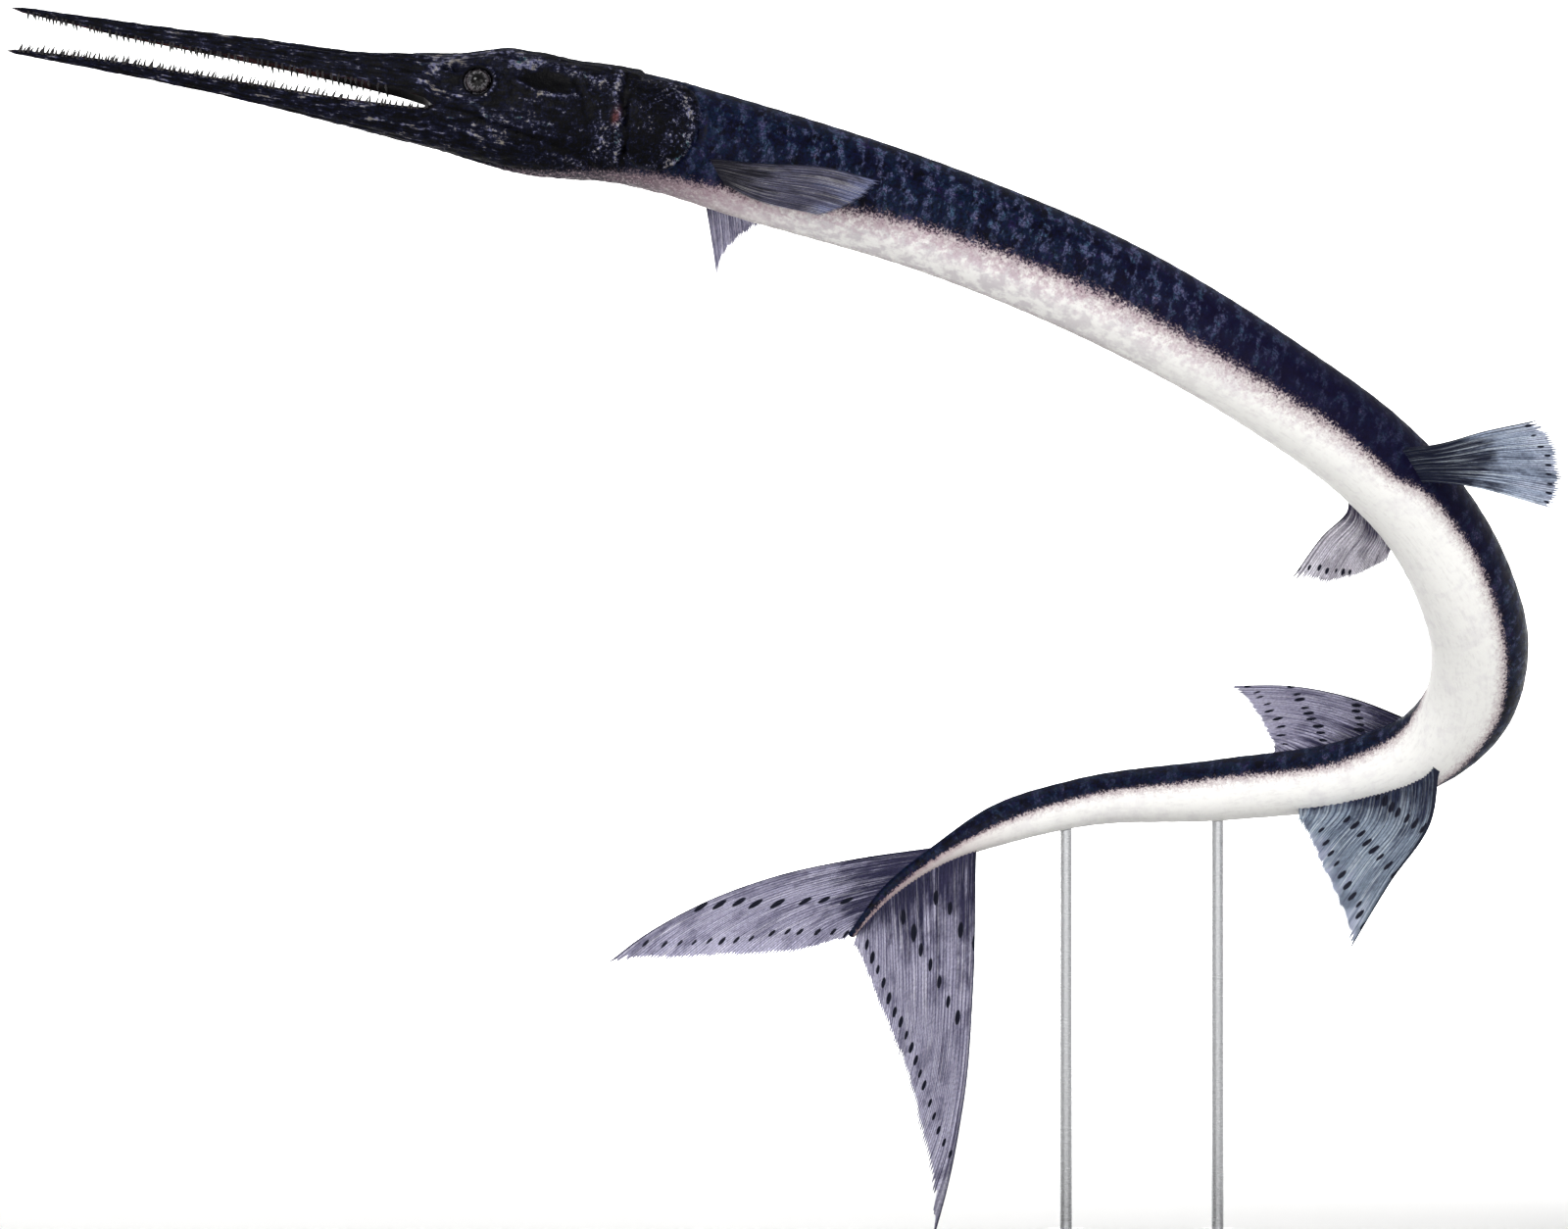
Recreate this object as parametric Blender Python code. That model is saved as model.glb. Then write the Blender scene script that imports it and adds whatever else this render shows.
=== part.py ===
"""A long-beaked Triassic fish, Saurichthys, life size, swimming in a C-shaped bend on a plain display stand.

Metres, +Z up. The head points along -X, +Y is away from the viewer of the pose, and the origin is the centre
of the stand's underside. Places along the fish are given as (x, z) in millimetres as they are seen from in
front, with y as the depth.
"""

import math

import bmesh
import bpy
import numpy as np
from mathutils import Matrix, Vector

MM = 0.001
GAP = 0.3 * MM  # clear space kept between pieces that touch

# The pose is laid out as it is seen from this point: what lies deeper is spread out by the perspective
VIEW_DISTANCE = 2.667
VIEW_X = -0.104
VIEW_Z = 0.278

# The body's course from the snout to the end of the tail stem.
# x, z as seen, depth y, half height, half width (all mm), roll of the back away from the viewer (degrees)
COURSE = (
    (-416.5, 516.4, -75, 9.4, 1.3, 4),
    (-336, 503.0, -74, 12.0, 4.2, 4),
    (-246, 487.8, -72, 19.2, 12.2, 4),
    (-208, 482.6, -71, 24.4, 16.5, 4),
    (-166, 476.4, -70, 22.6, 19.0, 4),
    (-112, 461.2, -67, 23.0, 20.2, 4),
    (-40, 438.6, -62, 21.8, 19.8, 4),
    (32, 408.2, -54, 21.4, 19.4, 5),
    (96, 371.0, -40, 20.0, 19.0, 9),
    (136, 341.8, -26, 19.8, 19.2, 18),
    (156, 321.0, -14, 19.8, 19.4, 28),
    (174, 289.0, 6, 20.2, 20.0, 42),
    (180, 263.0, 26, 20.2, 20.0, 58),
    (174.8, 240.2, 44, 19.0, 18.6, 84),
    (156.8, 222.6, 60, 16.8, 16.2, 120),
    (128, 213.4, 72, 14.6, 13.8, 142),
    (76, 206.6, 80, 13.4, 11.6, 152),
    (16, 201.0, 82, 10.4, 8.6, 156),
    (-16, 192.2, 79, 8.9, 6.4, 158),
    (-40, 180.2, 76, 4.9, 3.6, 160),
    (-62, 164.2, 73, 3.2, 2.3, 164),
    (-76.8, 147.0, 70, 1.7, 1.5, 165),
)
SNOUT, MOUTH_CORNER, HEAD_END = 0, 2, 4  # rows of COURSE

# The open jaws: distance from the snout tip, height of the palate and of the mouth floor over the axis (mm)
JAWS = (
    (0, 8.0, -8.2),
    (20, 7.4, -7.6),
    (50, 4.4, -6.8),
    (82, 3.2, -6.7),
    (115, 1.8, -6.6),
    (148, -1.0, -6.4),
    (164, -3.5, -6.2),
    (175, -5.3, -5.3),
)
PALATE_ARCH = 0.18  # of the jaw's half width
SNOUT_POINTS = (3.0, 1.0)  # how far the upper and the lower tip reach past the first ring (mm)

# Rings round the body: steps over the back and under the belly, parted at the level of the mouth's line
BACK_STEPS, BELLY_STEPS, MOUTH_STEPS = 14, 10, 4
MOUTH_ANGLE = math.radians(100.2)
JAW_RING, BODY_RING = 9.5 * MM, 12 * MM  # spacing of the rings
SKULL_STEP = 1.2 * MM  # how far the skull's edge stands over the neck

# Where the body is parted: fractions of COURSE's rows
PARTS = (
    ("torso_front", 4, 7),
    ("torso_rear", 7, 10.6),
    ("tail_bend", 10.6, 13.2),
    ("tail_arm", 13.2, 18.3),
    ("tail_stem", 18.3, 21),
)

# Teeth, which stand along both edges of each jaw (mm)
TEETH_A_SIDE = 26
TOOTH_SIZES = (2.9, 2.1, 2.6, 1.8)
TOOTH_RADIUS, TOOTH_ROOT, TOOTH_INSET = 0.5, 1.2, 0.6
TEETH_FROM, TEETH_TO = 5, 166
TOOTH_SPLAY = 0.25

# Eye (mm, degrees from the back)
EYE_X, EYE_ANGLE = -230, 68
EYE_RADIUS, EYE_SUNK = 6.0, 3.8
RIM_RADIUS, RIM_THICK, RIM_SUNK = 6.4, 1.1, 0.6
NOSTRIL_X, NOSTRIL_ANGLE, NOSTRIL_RADIUS = (-240, -243.5), 52, 1.1

# Gill cover: a plate over the gills (mm, degrees from the back)
GILL_X, GILL_HALF_LENGTH = -155.5, 14.4
GILL_ANGLE, GILL_HALF_ANGLE = 82, 56
GILL_SQUARE = 0.6  # below 1 squares the plate's front half
GILL_THICK, GILL_SUNK = 1.7, 1.2

# Fins. root: rows of COURSE at its two ends and the angle from the back at each.
# tip and end: the free margin's two ends (x, z, y). lead, margin, trail: (x, z) that those edges pass through.
FINS = {
    "pectoral_fin_left": {
        "root": (4.58, 4.74, 106, 126), "tip": (-64, 454.6, -100), "end": (-88.8, 440.6, -98),
        "lead": [(-114, 462.9), (-88, 461.0)], "margin": [(-69.2, 450.0), (-75.6, 445.4)], "trail": [(-104, 445.6)],
        "rays": 10, "rows": 7, "thick": 2.0, "sunk": 1.6, "lift": 5.0,
    },
    "pectoral_fin_right": {
        "root": (4.60, 5.02, -118, -132), "tip": (-131.2, 413.4, -44), "end": (-113.6, 435.6, -46),
        "lead": [(-134.2, 436.0)], "margin": [(-129.8, 419.8), (-125.2, 426.2)], "trail": [],
        "rays": 8, "rows": 6, "thick": 2.0, "sunk": 1.6, "lift": 1.0,
    },
    "pelvic_fin_left": {
        "root": (9.02, 9.46, 76, 92), "tip": (202.4, 356.6, -58), "end": (209.6, 321.8, -56),
        "lead": [(157.2, 346.0), (180, 352.2)], "margin": [(210, 350.0), (213, 338.6), (212.8, 329.4)],
        "trail": [(171, 330.7)], "rays": 9, "rows": 5, "thick": 2.0, "sunk": 1.6, "lift": 4.0,
    },
    "pelvic_fin_right": {
        "root": (9.10, 10.20, -122, -132), "tip": (103.2, 292.6, 12), "end": (141.4, 299.0, 8),
        "lead": [(126.4, 321.4), (115.2, 309.4)], "margin": [(118.8, 290.6), (127, 293.0)], "trail": [],
        "rays": 8, "rows": 5, "thick": 2.0, "sunk": 1.6, "lift": 0.0,
    },
    "dorsal_fin": {
        "root": (13.98, 15.64, 0, 0), "tip": (76.8, 249.0, 106), "end": (97.0, 223.0, 94),
        "lead": [(126.4, 244.4), (103.9, 248.8)], "margin": [(87.6, 238.2), (92.8, 229.0)], "trail": [],
        "rays": 11, "rows": 6, "thick": 2.2, "sunk": 2.0, "lift": 0.0,
    },
    "anal_fin": {
        "root": (13.72, 15.44, 180, 180), "tip": (127.2, 141.6, 32), "end": (106.0, 192.6, 62),
        "lead": [(159.6, 193.8), (143.2, 168.6)], "margin": [(121.6, 159.8), (114.0, 176.0)], "trail": [],
        "rays": 12, "rows": 7, "thick": 2.2, "sunk": 2.0, "lift": 0.0,
    },
    "caudal_fin_upper": {
        "root": (19.02, 20.88, 0, 0), "tip": (-173.2, 137.0, 58), "end": (-79.8, 144.6, 69),
        "lead": [(-75.4, 178.2), (-106.8, 171.4), (-138.2, 159.8), (-164.4, 144.8)],
        "margin": [(-130.8, 140.6), (-91.2, 144.2)], "trail": [],
        "rays": 12, "rows": 9, "thick": 1.5, "sunk": 0.9, "lift": 0.0,
    },
    "caudal_fin_lower": {
        "root": (18.50, 20.84, 180, 180), "tip": (-41.0, 42.0, 82), "end": (-76.0, 142.0, 70),
        "lead": [(-26.8, 124.6), (-30.8, 78.6), (-36.8, 52.4)],
        "margin": [(-49.8, 84.6), (-58, 99.6), (-64, 112.6)], "trail": [],
        "rays": 13, "rows": 10, "thick": 1.5, "sunk": 0.9, "lift": 0.0, "filament": 21.0,
    },
}
FIN_EDGE = 0.95  # thickness at the free edge, along a ray (mm)
LEAST_SKIN = 0.5  # thinnest membrane (mm)
MEMBRANE_SHARE = 0.52  # membrane thickness as a share of the ray's
NOTCH = 0.03  # how far the membrane falls short of the ray tips

# Stand (mm)
BASE_LENGTH, BASE_DEPTH, BASE_THICK = 420, 250, 14
BASE_CORNER, BASE_BEVEL = 26, 2.5
ROD_RADIUS, ROD_FOOT_RADIUS, ROD_FOOT_HEIGHT = 2.5, 9, 5
RODS = {"stand_rod_front": 17.15, "stand_rod_rear": 16.05}  # rows of COURSE that they hold

# name: (red, green, blue), roughness, metallic
FINISHES = {
    "skin": ((0.035, 0.04, 0.085), 0.42, 0.0),
    "fin": ((0.30, 0.28, 0.38), 0.5, 0.0),
    "eye": ((0.22, 0.20, 0.19), 0.12, 0.0),
    "base": ((0.03, 0.03, 0.032), 0.35, 0.0),
    "steel": ((0.62, 0.62, 0.64), 0.28, 1.0),
}


def material(name):
    found = bpy.data.materials.get(name)
    if found:
        return found
    colour, roughness, metallic = FINISHES[name]
    made = bpy.data.materials.new(name)
    made.use_nodes = True
    shader = made.node_tree.nodes["Principled BSDF"]
    shader.inputs["Base Color"].default_value = (*colour, 1.0)
    shader.inputs["Roughness"].default_value = roughness
    shader.inputs["Metallic"].default_value = metallic
    return made


def add_object(name, points, faces, finish="skin", hidden=False):
    """One closed mesh object, its faces turned outwards."""
    shape = bmesh.new()
    corners = [shape.verts.new(p) for p in points]
    for face in faces:
        shape.faces.new([corners[i] for i in face])
    bmesh.ops.triangulate(shape, faces=[f for f in shape.faces if len(f.verts) > 4])
    bmesh.ops.recalc_face_normals(shape, faces=shape.faces)
    mesh = bpy.data.meshes.new(name)
    shape.to_mesh(mesh)
    shape.free()
    mesh.materials.append(material(finish))
    made = bpy.data.objects.new(name, mesh)
    bpy.context.scene.collection.objects.link(made)
    if hidden:
        made.hide_render = True
        made.display_type = "WIRE"
    return made


def drop(made):
    bpy.data.objects.remove(made)


def keep_largest(mesh):
    """Keeps only the closed surface that holds the most."""
    shape = bmesh.new()
    shape.from_mesh(mesh)
    left, pieces = set(shape.faces), []
    while left:
        piece, edge_of_search = set(), [left.pop()]
        while edge_of_search:
            face = edge_of_search.pop()
            piece.add(face)
            near = {f for e in face.edges for f in e.link_faces} & left
            left -= near
            edge_of_search.extend(near)
        pieces.append(piece)

    def volume(piece):
        total = 0.0
        for face in piece:
            first, *rest = [v.co for v in face.verts]
            total += sum(first.dot(a.cross(b)) for a, b in zip(rest, rest[1:])) / 6
        return abs(total)

    pieces.sort(key=volume)
    bmesh.ops.delete(shape, geom=[f for p in pieces[:-1] for f in p], context="FACES")
    shape.to_mesh(mesh)
    shape.free()


def combine(made, operation, cutter=None, cutters=None, largest=True):
    """Applies one Boolean with an object, or with a collection of objects that is then removed."""
    change = made.modifiers.new("combine", "BOOLEAN")
    change.operation = operation
    change.solver = "EXACT"
    if cutters:
        group = bpy.data.collections.new("cutters")
        bpy.context.scene.collection.children.link(group)
        for piece in cutters:
            bpy.context.scene.collection.objects.unlink(piece)
            group.objects.link(piece)
        change.operand_type = "COLLECTION"
        change.collection = group
    else:
        change.object = cutter
    bpy.context.view_layer.update()
    evaluated = made.evaluated_get(bpy.context.evaluated_depsgraph_get())
    mesh = bpy.data.meshes.new_from_object(evaluated)
    made.modifiers.clear()
    made.data = mesh
    if cutters:
        for piece in cutters:
            drop(piece)
        bpy.data.collections.remove(group)
    if largest:
        keep_largest(mesh)
    return made


def seen(x, z, y):
    """The point at depth y that is seen at (x, z), all in mm, as a place in metres."""
    spread = 1 + y * MM / VIEW_DISTANCE
    return np.array([
        VIEW_X + (x * MM - VIEW_X) * spread,
        y * MM,
        VIEW_Z + (z * MM - VIEW_Z) * spread,
    ])


def smooth_curve(knots, values, at):
    """Cubic through values at knots, with slopes from the neighbours."""
    knots, values = np.asarray(knots, float), np.asarray(values, float)
    slopes = np.gradient(values, knots, axis=0)
    i = int(np.clip(np.searchsorted(knots, at) - 1, 0, len(knots) - 2))
    span = knots[i + 1] - knots[i]
    t = (at - knots[i]) / span
    return (
        (2 * t**3 - 3 * t**2 + 1) * values[i]
        + (t**3 - 2 * t**2 + t) * span * slopes[i]
        + (3 * t**2 - 2 * t**3) * values[i + 1]
        + (t**3 - t**2) * span * slopes[i + 1]
    )


def unit(vector):
    return vector / np.linalg.norm(vector)


CENTRES = np.array([seen(x, z, y) for x, z, y, *_ in COURSE])
LENGTHS = np.concatenate([[0], np.cumsum(np.linalg.norm(np.diff(CENTRES, axis=0), axis=1))])
SIZES = np.array([[h * MM, w * MM, math.radians(roll)] for *_, h, w, roll in COURSE])


def distance_at(row):
    """Distance from the snout tip at a row of COURSE, which may be a fraction."""
    return float(np.interp(row, range(len(COURSE)), LENGTHS))


def frame_at(distance):
    """Centre, and the directions to the tail, the back and the left flank, half height and half width."""
    reach = 0.5 * MM
    centre = smooth_curve(LENGTHS, CENTRES, distance)
    tail = unit(
        smooth_curve(LENGTHS, CENTRES, min(distance + reach, LENGTHS[-1]))
        - smooth_curve(LENGTHS, CENTRES, max(distance - reach, 0))
    )
    high, wide, roll = smooth_curve(LENGTHS, SIZES, distance)
    across = unit(np.array([-tail[2], 0, tail[0]]))
    back = math.cos(roll) * across + math.sin(roll) * np.array([0, 1.0, 0])
    back = unit(back - back.dot(tail) * tail)
    return centre, tail, back, np.cross(tail, back), high, wide


def on_skin(distance, angle, out=0.0):
    """The point on the body's surface at an angle from the back towards the left, moved out from it."""
    centre, _, back, left, high, wide = frame_at(distance)
    return centre + (high + out) * math.cos(angle) * back + (wide + out) * math.sin(angle) * left


def ring_angles():
    over = np.linspace(-MOUTH_ANGLE, MOUTH_ANGLE, BACK_STEPS + 1)
    under = np.linspace(MOUTH_ANGLE, 2 * math.pi - MOUTH_ANGLE, BELLY_STEPS + 1)
    return over, under


def body_ring(distance, out=0.0):
    over, under = ring_angles()
    return [on_skin(distance, a, out) for a in [*over, *under[1:-1]]]


def skull_ring(distance, out=0.0):
    """A ring of the skull, whose roof stands a little over the neck towards its rear edge."""
    start, stop = LENGTHS[MOUTH_CORNER], LENGTHS[HEAD_END]
    lift = SKULL_STEP * max(0.0, (distance - start) / (stop - start)) ** 3
    return body_ring(distance, out + lift)


def gape_at(distance):
    """Heights of the palate and of the mouth's floor over the axis."""
    table = np.array(JAWS) * MM
    return smooth_curve(table[:, 0], table[:, 1:], min(distance, table[-1, 0]))


def jaw_rings(distance):
    """The upper and lower jaw's rings: each has its outer arc, then the mouth's side, from one edge to the other."""
    centre, _, back, left, high, wide = frame_at(distance)
    palate, floor = gape_at(distance)
    over, under = ring_angles()
    edge = math.cos(MOUTH_ANGLE)

    def place(height, side):
        return centre + height * back + side * left

    upper = [place(palate + (high - palate) * (math.cos(a) - edge) / (1 - edge), wide * math.sin(a)) for a in over]
    lower = [place(floor + (high + floor) * (math.cos(a) - edge) / (1 + edge), wide * math.sin(a)) for a in under]
    half = wide * math.sin(MOUTH_ANGLE)
    gape = min(1.0, (palate - floor) / (6 * MM))
    for k in range(1, MOUTH_STEPS + 1):
        across = 1 - 2 * k / (MOUTH_STEPS + 1)
        arch = PALATE_ARCH * half * gape * (1 - across**2)
        upper.append(place(palate + arch, across * half))
        lower.append(place(floor - arch, -across * half))
    return upper, lower


def loft(rings, points, faces, start=None):
    """Joins rings with quads and adds their points. start holds the indices of a ring already there."""
    before = start
    for ring in rings:
        now = list(range(len(points), len(points) + len(ring)))
        points.extend(ring)
        if before:
            faces.extend(
                (before[i], before[i - 1], now[i - 1], now[i]) for i in range(len(now))
            )
        before = now
    return before


def spaced(start, stop, step):
    return np.linspace(start, stop, max(2, round((stop - start) / step) + 1))


def close_tip(ring, direction, points, faces):
    """Closes a ring with a point ahead of its middle."""
    tip = np.mean([points[i] for i in ring], axis=0) + direction
    points.append(tip)
    faces.extend((ring[i - 1], ring[i], len(points) - 1) for i in range(len(ring)))


def make_whole_head():
    """Skull and both jaws as one closed surface: the skull's first ring splits at the mouth's corner."""
    points, faces = [], []
    corner, end = LENGTHS[MOUTH_CORNER], LENGTHS[HEAD_END] - GAP / 2
    upper, lower = jaw_rings(corner)
    count_over, count_under = BACK_STEPS + 1, BELLY_STEPS + 1
    points.extend(upper)
    points.extend(lower[1 : count_under - 1])
    over = list(range(count_over))
    line = list(range(count_over, len(upper)))
    under = [over[-1], *range(len(upper), len(upper) + count_under - 2), over[0]]
    rings = [skull_ring(d) for d in spaced(corner, end, BODY_RING)[1:]]
    last = loft(rings, points, faces, start=[*over, *under[1:-1]])
    faces.append(tuple(last))
    jaw_places = spaced(0, corner, JAW_RING)[::-1][1:]
    ahead = -frame_at(0)[1]
    for side, start in ((0, [*over, *line]), (1, [*under, *line[::-1]])):
        last = loft([jaw_rings(d)[side] for d in jaw_places], points, faces, start=start)
        close_tip(last, SNOUT_POINTS[side] * MM * ahead, points, faces)
    return add_object("head", points, faces)


def places_along(first, last):
    """The rings' distances from the snout tip in one part of the body, between two rows of COURSE."""
    start = distance_at(first) + GAP / 2
    stop = distance_at(last) - (GAP / 2 if last < len(COURSE) - 1 else 0)
    return spaced(start, stop, min(BODY_RING, (stop - start) / 4))


def close_tube(name, rings, hidden=False):
    points, faces = [], []
    last = loft(rings, points, faces)
    faces.append(tuple(range(len(rings[0]))))
    faces.append(tuple(last))
    return add_object(name, points, faces, hidden=hidden)


def make_clear_space():
    """The space that the skull and body take, with the gap round it."""
    head = spaced(LENGTHS[MOUTH_CORNER], LENGTHS[HEAD_END] - GAP / 2, BODY_RING)
    rings = [skull_ring(d, GAP) for d in head]
    for _, first, last in PARTS:
        rings.extend(body_ring(d, GAP) for d in places_along(first, last))
    rings.append([p + GAP * frame_at(LENGTHS[-1])[1] for p in rings.pop()])
    return close_tube("clear_space", rings, hidden=True)


def cone(root, direction, radius, sides=5):
    """A small tooth: a cone whose flat root is at root."""
    axis = unit(direction)
    side = unit(np.cross(axis, [0.31, 0.95, 0.12]))
    other = np.cross(axis, side)
    points = [
        root + radius * (math.cos(2 * math.pi * k / sides) * side + math.sin(2 * math.pi * k / sides) * other)
        for k in range(sides)
    ]
    points.append(root + direction)
    faces = [tuple(range(sides))] + [(k, (k + 1) % sides, sides) for k in range(sides)]
    return add_object("tooth", points, faces)


def add_teeth(jaw, side):
    """Stands teeth along both edges of the upper (0) or lower (1) jaw."""
    teeth = []
    for flank in (1, -1):
        for k, distance in enumerate(np.linspace(TEETH_FROM * MM, TEETH_TO * MM, TEETH_A_SIDE)):
            _, _, back, left, _, _ = frame_at(distance)
            ring = jaw_rings(distance)[side]
            edges = (ring[BACK_STEPS], ring[0]) if side == 0 else (ring[0], ring[BELLY_STEPS])
            edge = edges[0] if flank == 1 else edges[1]
            inward = -flank * left
            down = -back if side == 0 else back
            length = TOOTH_SIZES[(k + side + (flank == 1)) % len(TOOTH_SIZES)]
            palate, floor = gape_at(distance)
            length = min(length, 0.35 * (palate - floor) / MM)
            way = unit(down + TOOTH_SPLAY * flank * left)
            root = edge + TOOTH_INSET * MM * inward - TOOTH_ROOT * MM * down
            teeth.append(cone(root, (length + TOOTH_ROOT) * MM * way, TOOTH_RADIUS * MM))
    combine(jaw, "UNION", cutters=teeth)


def ball(name, centre, radius, finish="skin", rings=9, sides=16, axis=(0, 0, 1)):
    shape = bmesh.new()
    turn = Vector((0, 0, 1)).rotation_difference(Vector(axis)).to_matrix().to_4x4()
    place = Matrix.Translation(Vector(centre)) @ turn
    bmesh.ops.create_uvsphere(shape, u_segments=sides, v_segments=rings, radius=radius, matrix=place)
    points = [np.array(v.co) for v in shape.verts]
    faces = [tuple(v.index for v in f.verts) for f in shape.faces]
    shape.free()
    return add_object(name, points, faces, finish)


def torus(centre, axis, radius, thick, sides=18, around=7):
    axis = unit(np.asarray(axis))
    side = unit(np.cross(axis, [0, 0, 1]))
    other = np.cross(axis, side)
    points, faces = [], []
    for i in range(sides):
        turn = 2 * math.pi * i / sides
        out = math.cos(turn) * side + math.sin(turn) * other
        for j in range(around):
            tip = 2 * math.pi * j / around
            points.append(centre + (radius + thick * math.cos(tip)) * out + thick * math.sin(tip) * axis)
    for i in range(sides):
        for j in range(around):
            a, b = i * around, ((i + 1) % sides) * around
            faces.append((a + j, a + (j + 1) % around, b + (j + 1) % around, b + j))
    return add_object("rim", points, faces)


def place_at_x(x):
    """Distance from the snout tip where the axis is seen at x, along the front of the body."""
    return float(np.interp(x, [row[0] for row in COURSE[:13]], LENGTHS[:13]))


def outward(distance, angle):
    _, _, back, left, high, wide = frame_at(distance)
    return unit(math.cos(angle) / high * back + math.sin(angle) / wide * left)


def make_head():
    """Head and lower jaw, parted by a thin cut from the mouth's corner back to the jaw's joint and down."""
    head = make_whole_head()
    eye_place = place_at_x(EYE_X)
    rims, sockets = [], []
    for flank, side in ((1, "left"), (-1, "right")):
        angle = flank * math.radians(EYE_ANGLE)
        axis = outward(eye_place, flank * math.radians(EYE_ANGLE + 6))
        skin = on_skin(eye_place, angle)
        centre = skin - EYE_SUNK * MM * axis
        rims.append(torus(skin - RIM_SUNK * MM * axis, axis, RIM_RADIUS * MM, RIM_THICK * MM))
        sockets.append(ball("socket", centre, EYE_RADIUS * MM + GAP, rings=10, sides=18, axis=axis))
        ball(f"eye_{side}", centre, EYE_RADIUS * MM, "eye", rings=10, sides=18, axis=axis)
        for x in NOSTRIL_X:
            pit = on_skin(place_at_x(x), flank * math.radians(NOSTRIL_ANGLE))
            sockets.append(ball("nostril", pit, NOSTRIL_RADIUS * MM, rings=5, sides=8))
    combine(head, "UNION", cutters=rims)
    combine(head, "DIFFERENCE", cutters=sockets)
    cut = [(-262, 487.2), (-247, 483.2), (-194, 465.4), (-181, 440.0)]
    line = [seen(x, z, COURSE[MOUTH_CORNER][2]) for x, z in cut]
    points, faces = [], []
    reach = np.array([0, 60 * MM, 0])
    for i, point in enumerate(line):
        along = unit(line[min(i + 1, len(line) - 1)] - line[max(i - 1, 0)])
        aside = GAP / 2 * np.array([-along[2], 0, along[0]])
        points.extend([point + aside - reach, point + aside + reach, point - aside + reach, point - aside - reach])
    for i in range(len(line) - 1):
        a, b = 4 * i, 4 * i + 4
        faces.extend((a + j, a + (j + 1) % 4, b + (j + 1) % 4, b + j) for j in range(4))
    faces.extend([(0, 1, 2, 3), tuple(range(len(points) - 4, len(points)))])
    slot = add_object("jaw_slot", points, faces)
    jaw = head.copy()
    jaw.data = head.data.copy()
    jaw.name = "lower_jaw"
    bpy.context.scene.collection.objects.link(jaw)
    combine(head, "DIFFERENCE", cutter=slot)
    combine(jaw, "DIFFERENCE", cutter=slot, largest=False)
    keep_second(jaw.data)
    drop(slot)
    add_teeth(head, 0)
    add_teeth(jaw, 1)
    head.name = "head"


def keep_second(mesh):
    """Keeps the second largest closed surface: the lower jaw, once the slot has parted it from the skull."""
    shape = bmesh.new()
    shape.from_mesh(mesh)
    left, pieces = set(shape.faces), []
    while left:
        piece, search = set(), [left.pop()]
        while search:
            face = search.pop()
            piece.add(face)
            near = {f for e in face.edges for f in e.link_faces} & left
            left -= near
            search.extend(near)
        pieces.append(piece)
    pieces.sort(key=lambda piece: sum(f.calc_area() for f in piece))
    bmesh.ops.delete(shape, geom=[f for p in pieces if p is not pieces[-2] for f in p], context="FACES")
    shape.to_mesh(mesh)
    shape.free()


def make_gill_cover(name, flank, body):
    """A rounded plate that lies over the gills, cut to the body's surface."""
    points, faces = [], []
    rounds, sides = 4, 20
    middle = place_at_x(GILL_X)

    def place(share, turn, out):
        along = math.cos(turn)
        if along < 0:
            along = -((-along) ** GILL_SQUARE)
        distance = middle + share * GILL_HALF_LENGTH * MM * along
        lean = math.radians(GILL_ANGLE + share * GILL_HALF_ANGLE * math.sin(turn))
        return on_skin(distance, flank * lean, out)

    layers = (GILL_THICK * MM, -GILL_SUNK * MM)
    for out in layers:
        for r in range(1, rounds + 1):
            share = r / rounds
            fall = 0.55 * share**4 if out > 0 else 0.0
            points.extend(place(share, 2 * math.pi * k / sides, out * (1 - fall)) for k in range(sides))
    middles = [len(points), len(points) + 1]
    points.extend(place(0, 0, out) for out in layers)
    for layer in range(2):
        first = layer * rounds * sides
        for r in range(rounds - 1):
            a, b = first + r * sides, first + (r + 1) * sides
            faces.extend((a + k, a + (k + 1) % sides, b + (k + 1) % sides, b + k) for k in range(sides))
        faces.extend((first + k, first + (k + 1) % sides, middles[layer]) for k in range(sides))
    top, low = (rounds - 1) * sides, (2 * rounds - 1) * sides
    faces.extend((top + k, top + (k + 1) % sides, low + (k + 1) % sides, low + k) for k in range(sides))
    combine(add_object(name, points, faces), "DIFFERENCE", cutter=body)


def edge_curve(start, through, stop):
    """A smooth line in space from start to stop by way of points given as seen, at depths between the two."""
    depths = np.linspace(start[1], stop[1], len(through) + 2)[1:-1] / MM
    knots = np.array([start, *(seen(x, z, y) for (x, z), y in zip(through, depths)), stop])
    lengths = np.concatenate([[0], np.cumsum(np.linalg.norm(np.diff(knots, axis=0), axis=1))])
    return lambda share: smooth_curve(lengths, knots, share * lengths[-1])


def fin_grid(form):
    """The middle surface of a fin, from edge to edge across the rays and from the root out along them."""
    first, last, angle_a, angle_b = form["root"]
    columns, rows = 2 * form["rays"] + 1, form["rows"]

    def root(u, out=-form["sunk"] * MM):
        return on_skin(distance_at(first + (last - first) * u), math.radians(angle_a + (angle_b - angle_a) * u), out)

    tip, end = seen(*form["tip"]), seen(*form["end"])
    lead = edge_curve(root(0), form["lead"], tip)
    margin = edge_curve(tip, form["margin"], end)
    trail = edge_curve(root(1), form["trail"], end)
    grid = np.zeros((columns, rows + 1, 3))
    for c in range(columns):
        u = c / (columns - 1)
        shorten = NOTCH if c % 2 else 0
        out_way = unit(root(u, 0.0) - root(u))
        streamer = form.get("filament", 0) * MM * math.exp(-22 * u) * unit(tip - root(0))
        for r in range(rows + 1):
            v = r / rows * (1 - shorten)
            flat = (1 - u) * (1 - v) * root(0) + (1 - u) * v * tip + u * (1 - v) * root(1) + u * v * end
            grid[c, r] = (1 - u) * lead(v) + u * trail(v) + (1 - v) * root(u) + v * margin(u) - flat
            grid[c, r] += 6.75 * form["lift"] * MM * v * (1 - v) ** 2 * out_way + v**6 * streamer
    return grid


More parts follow.
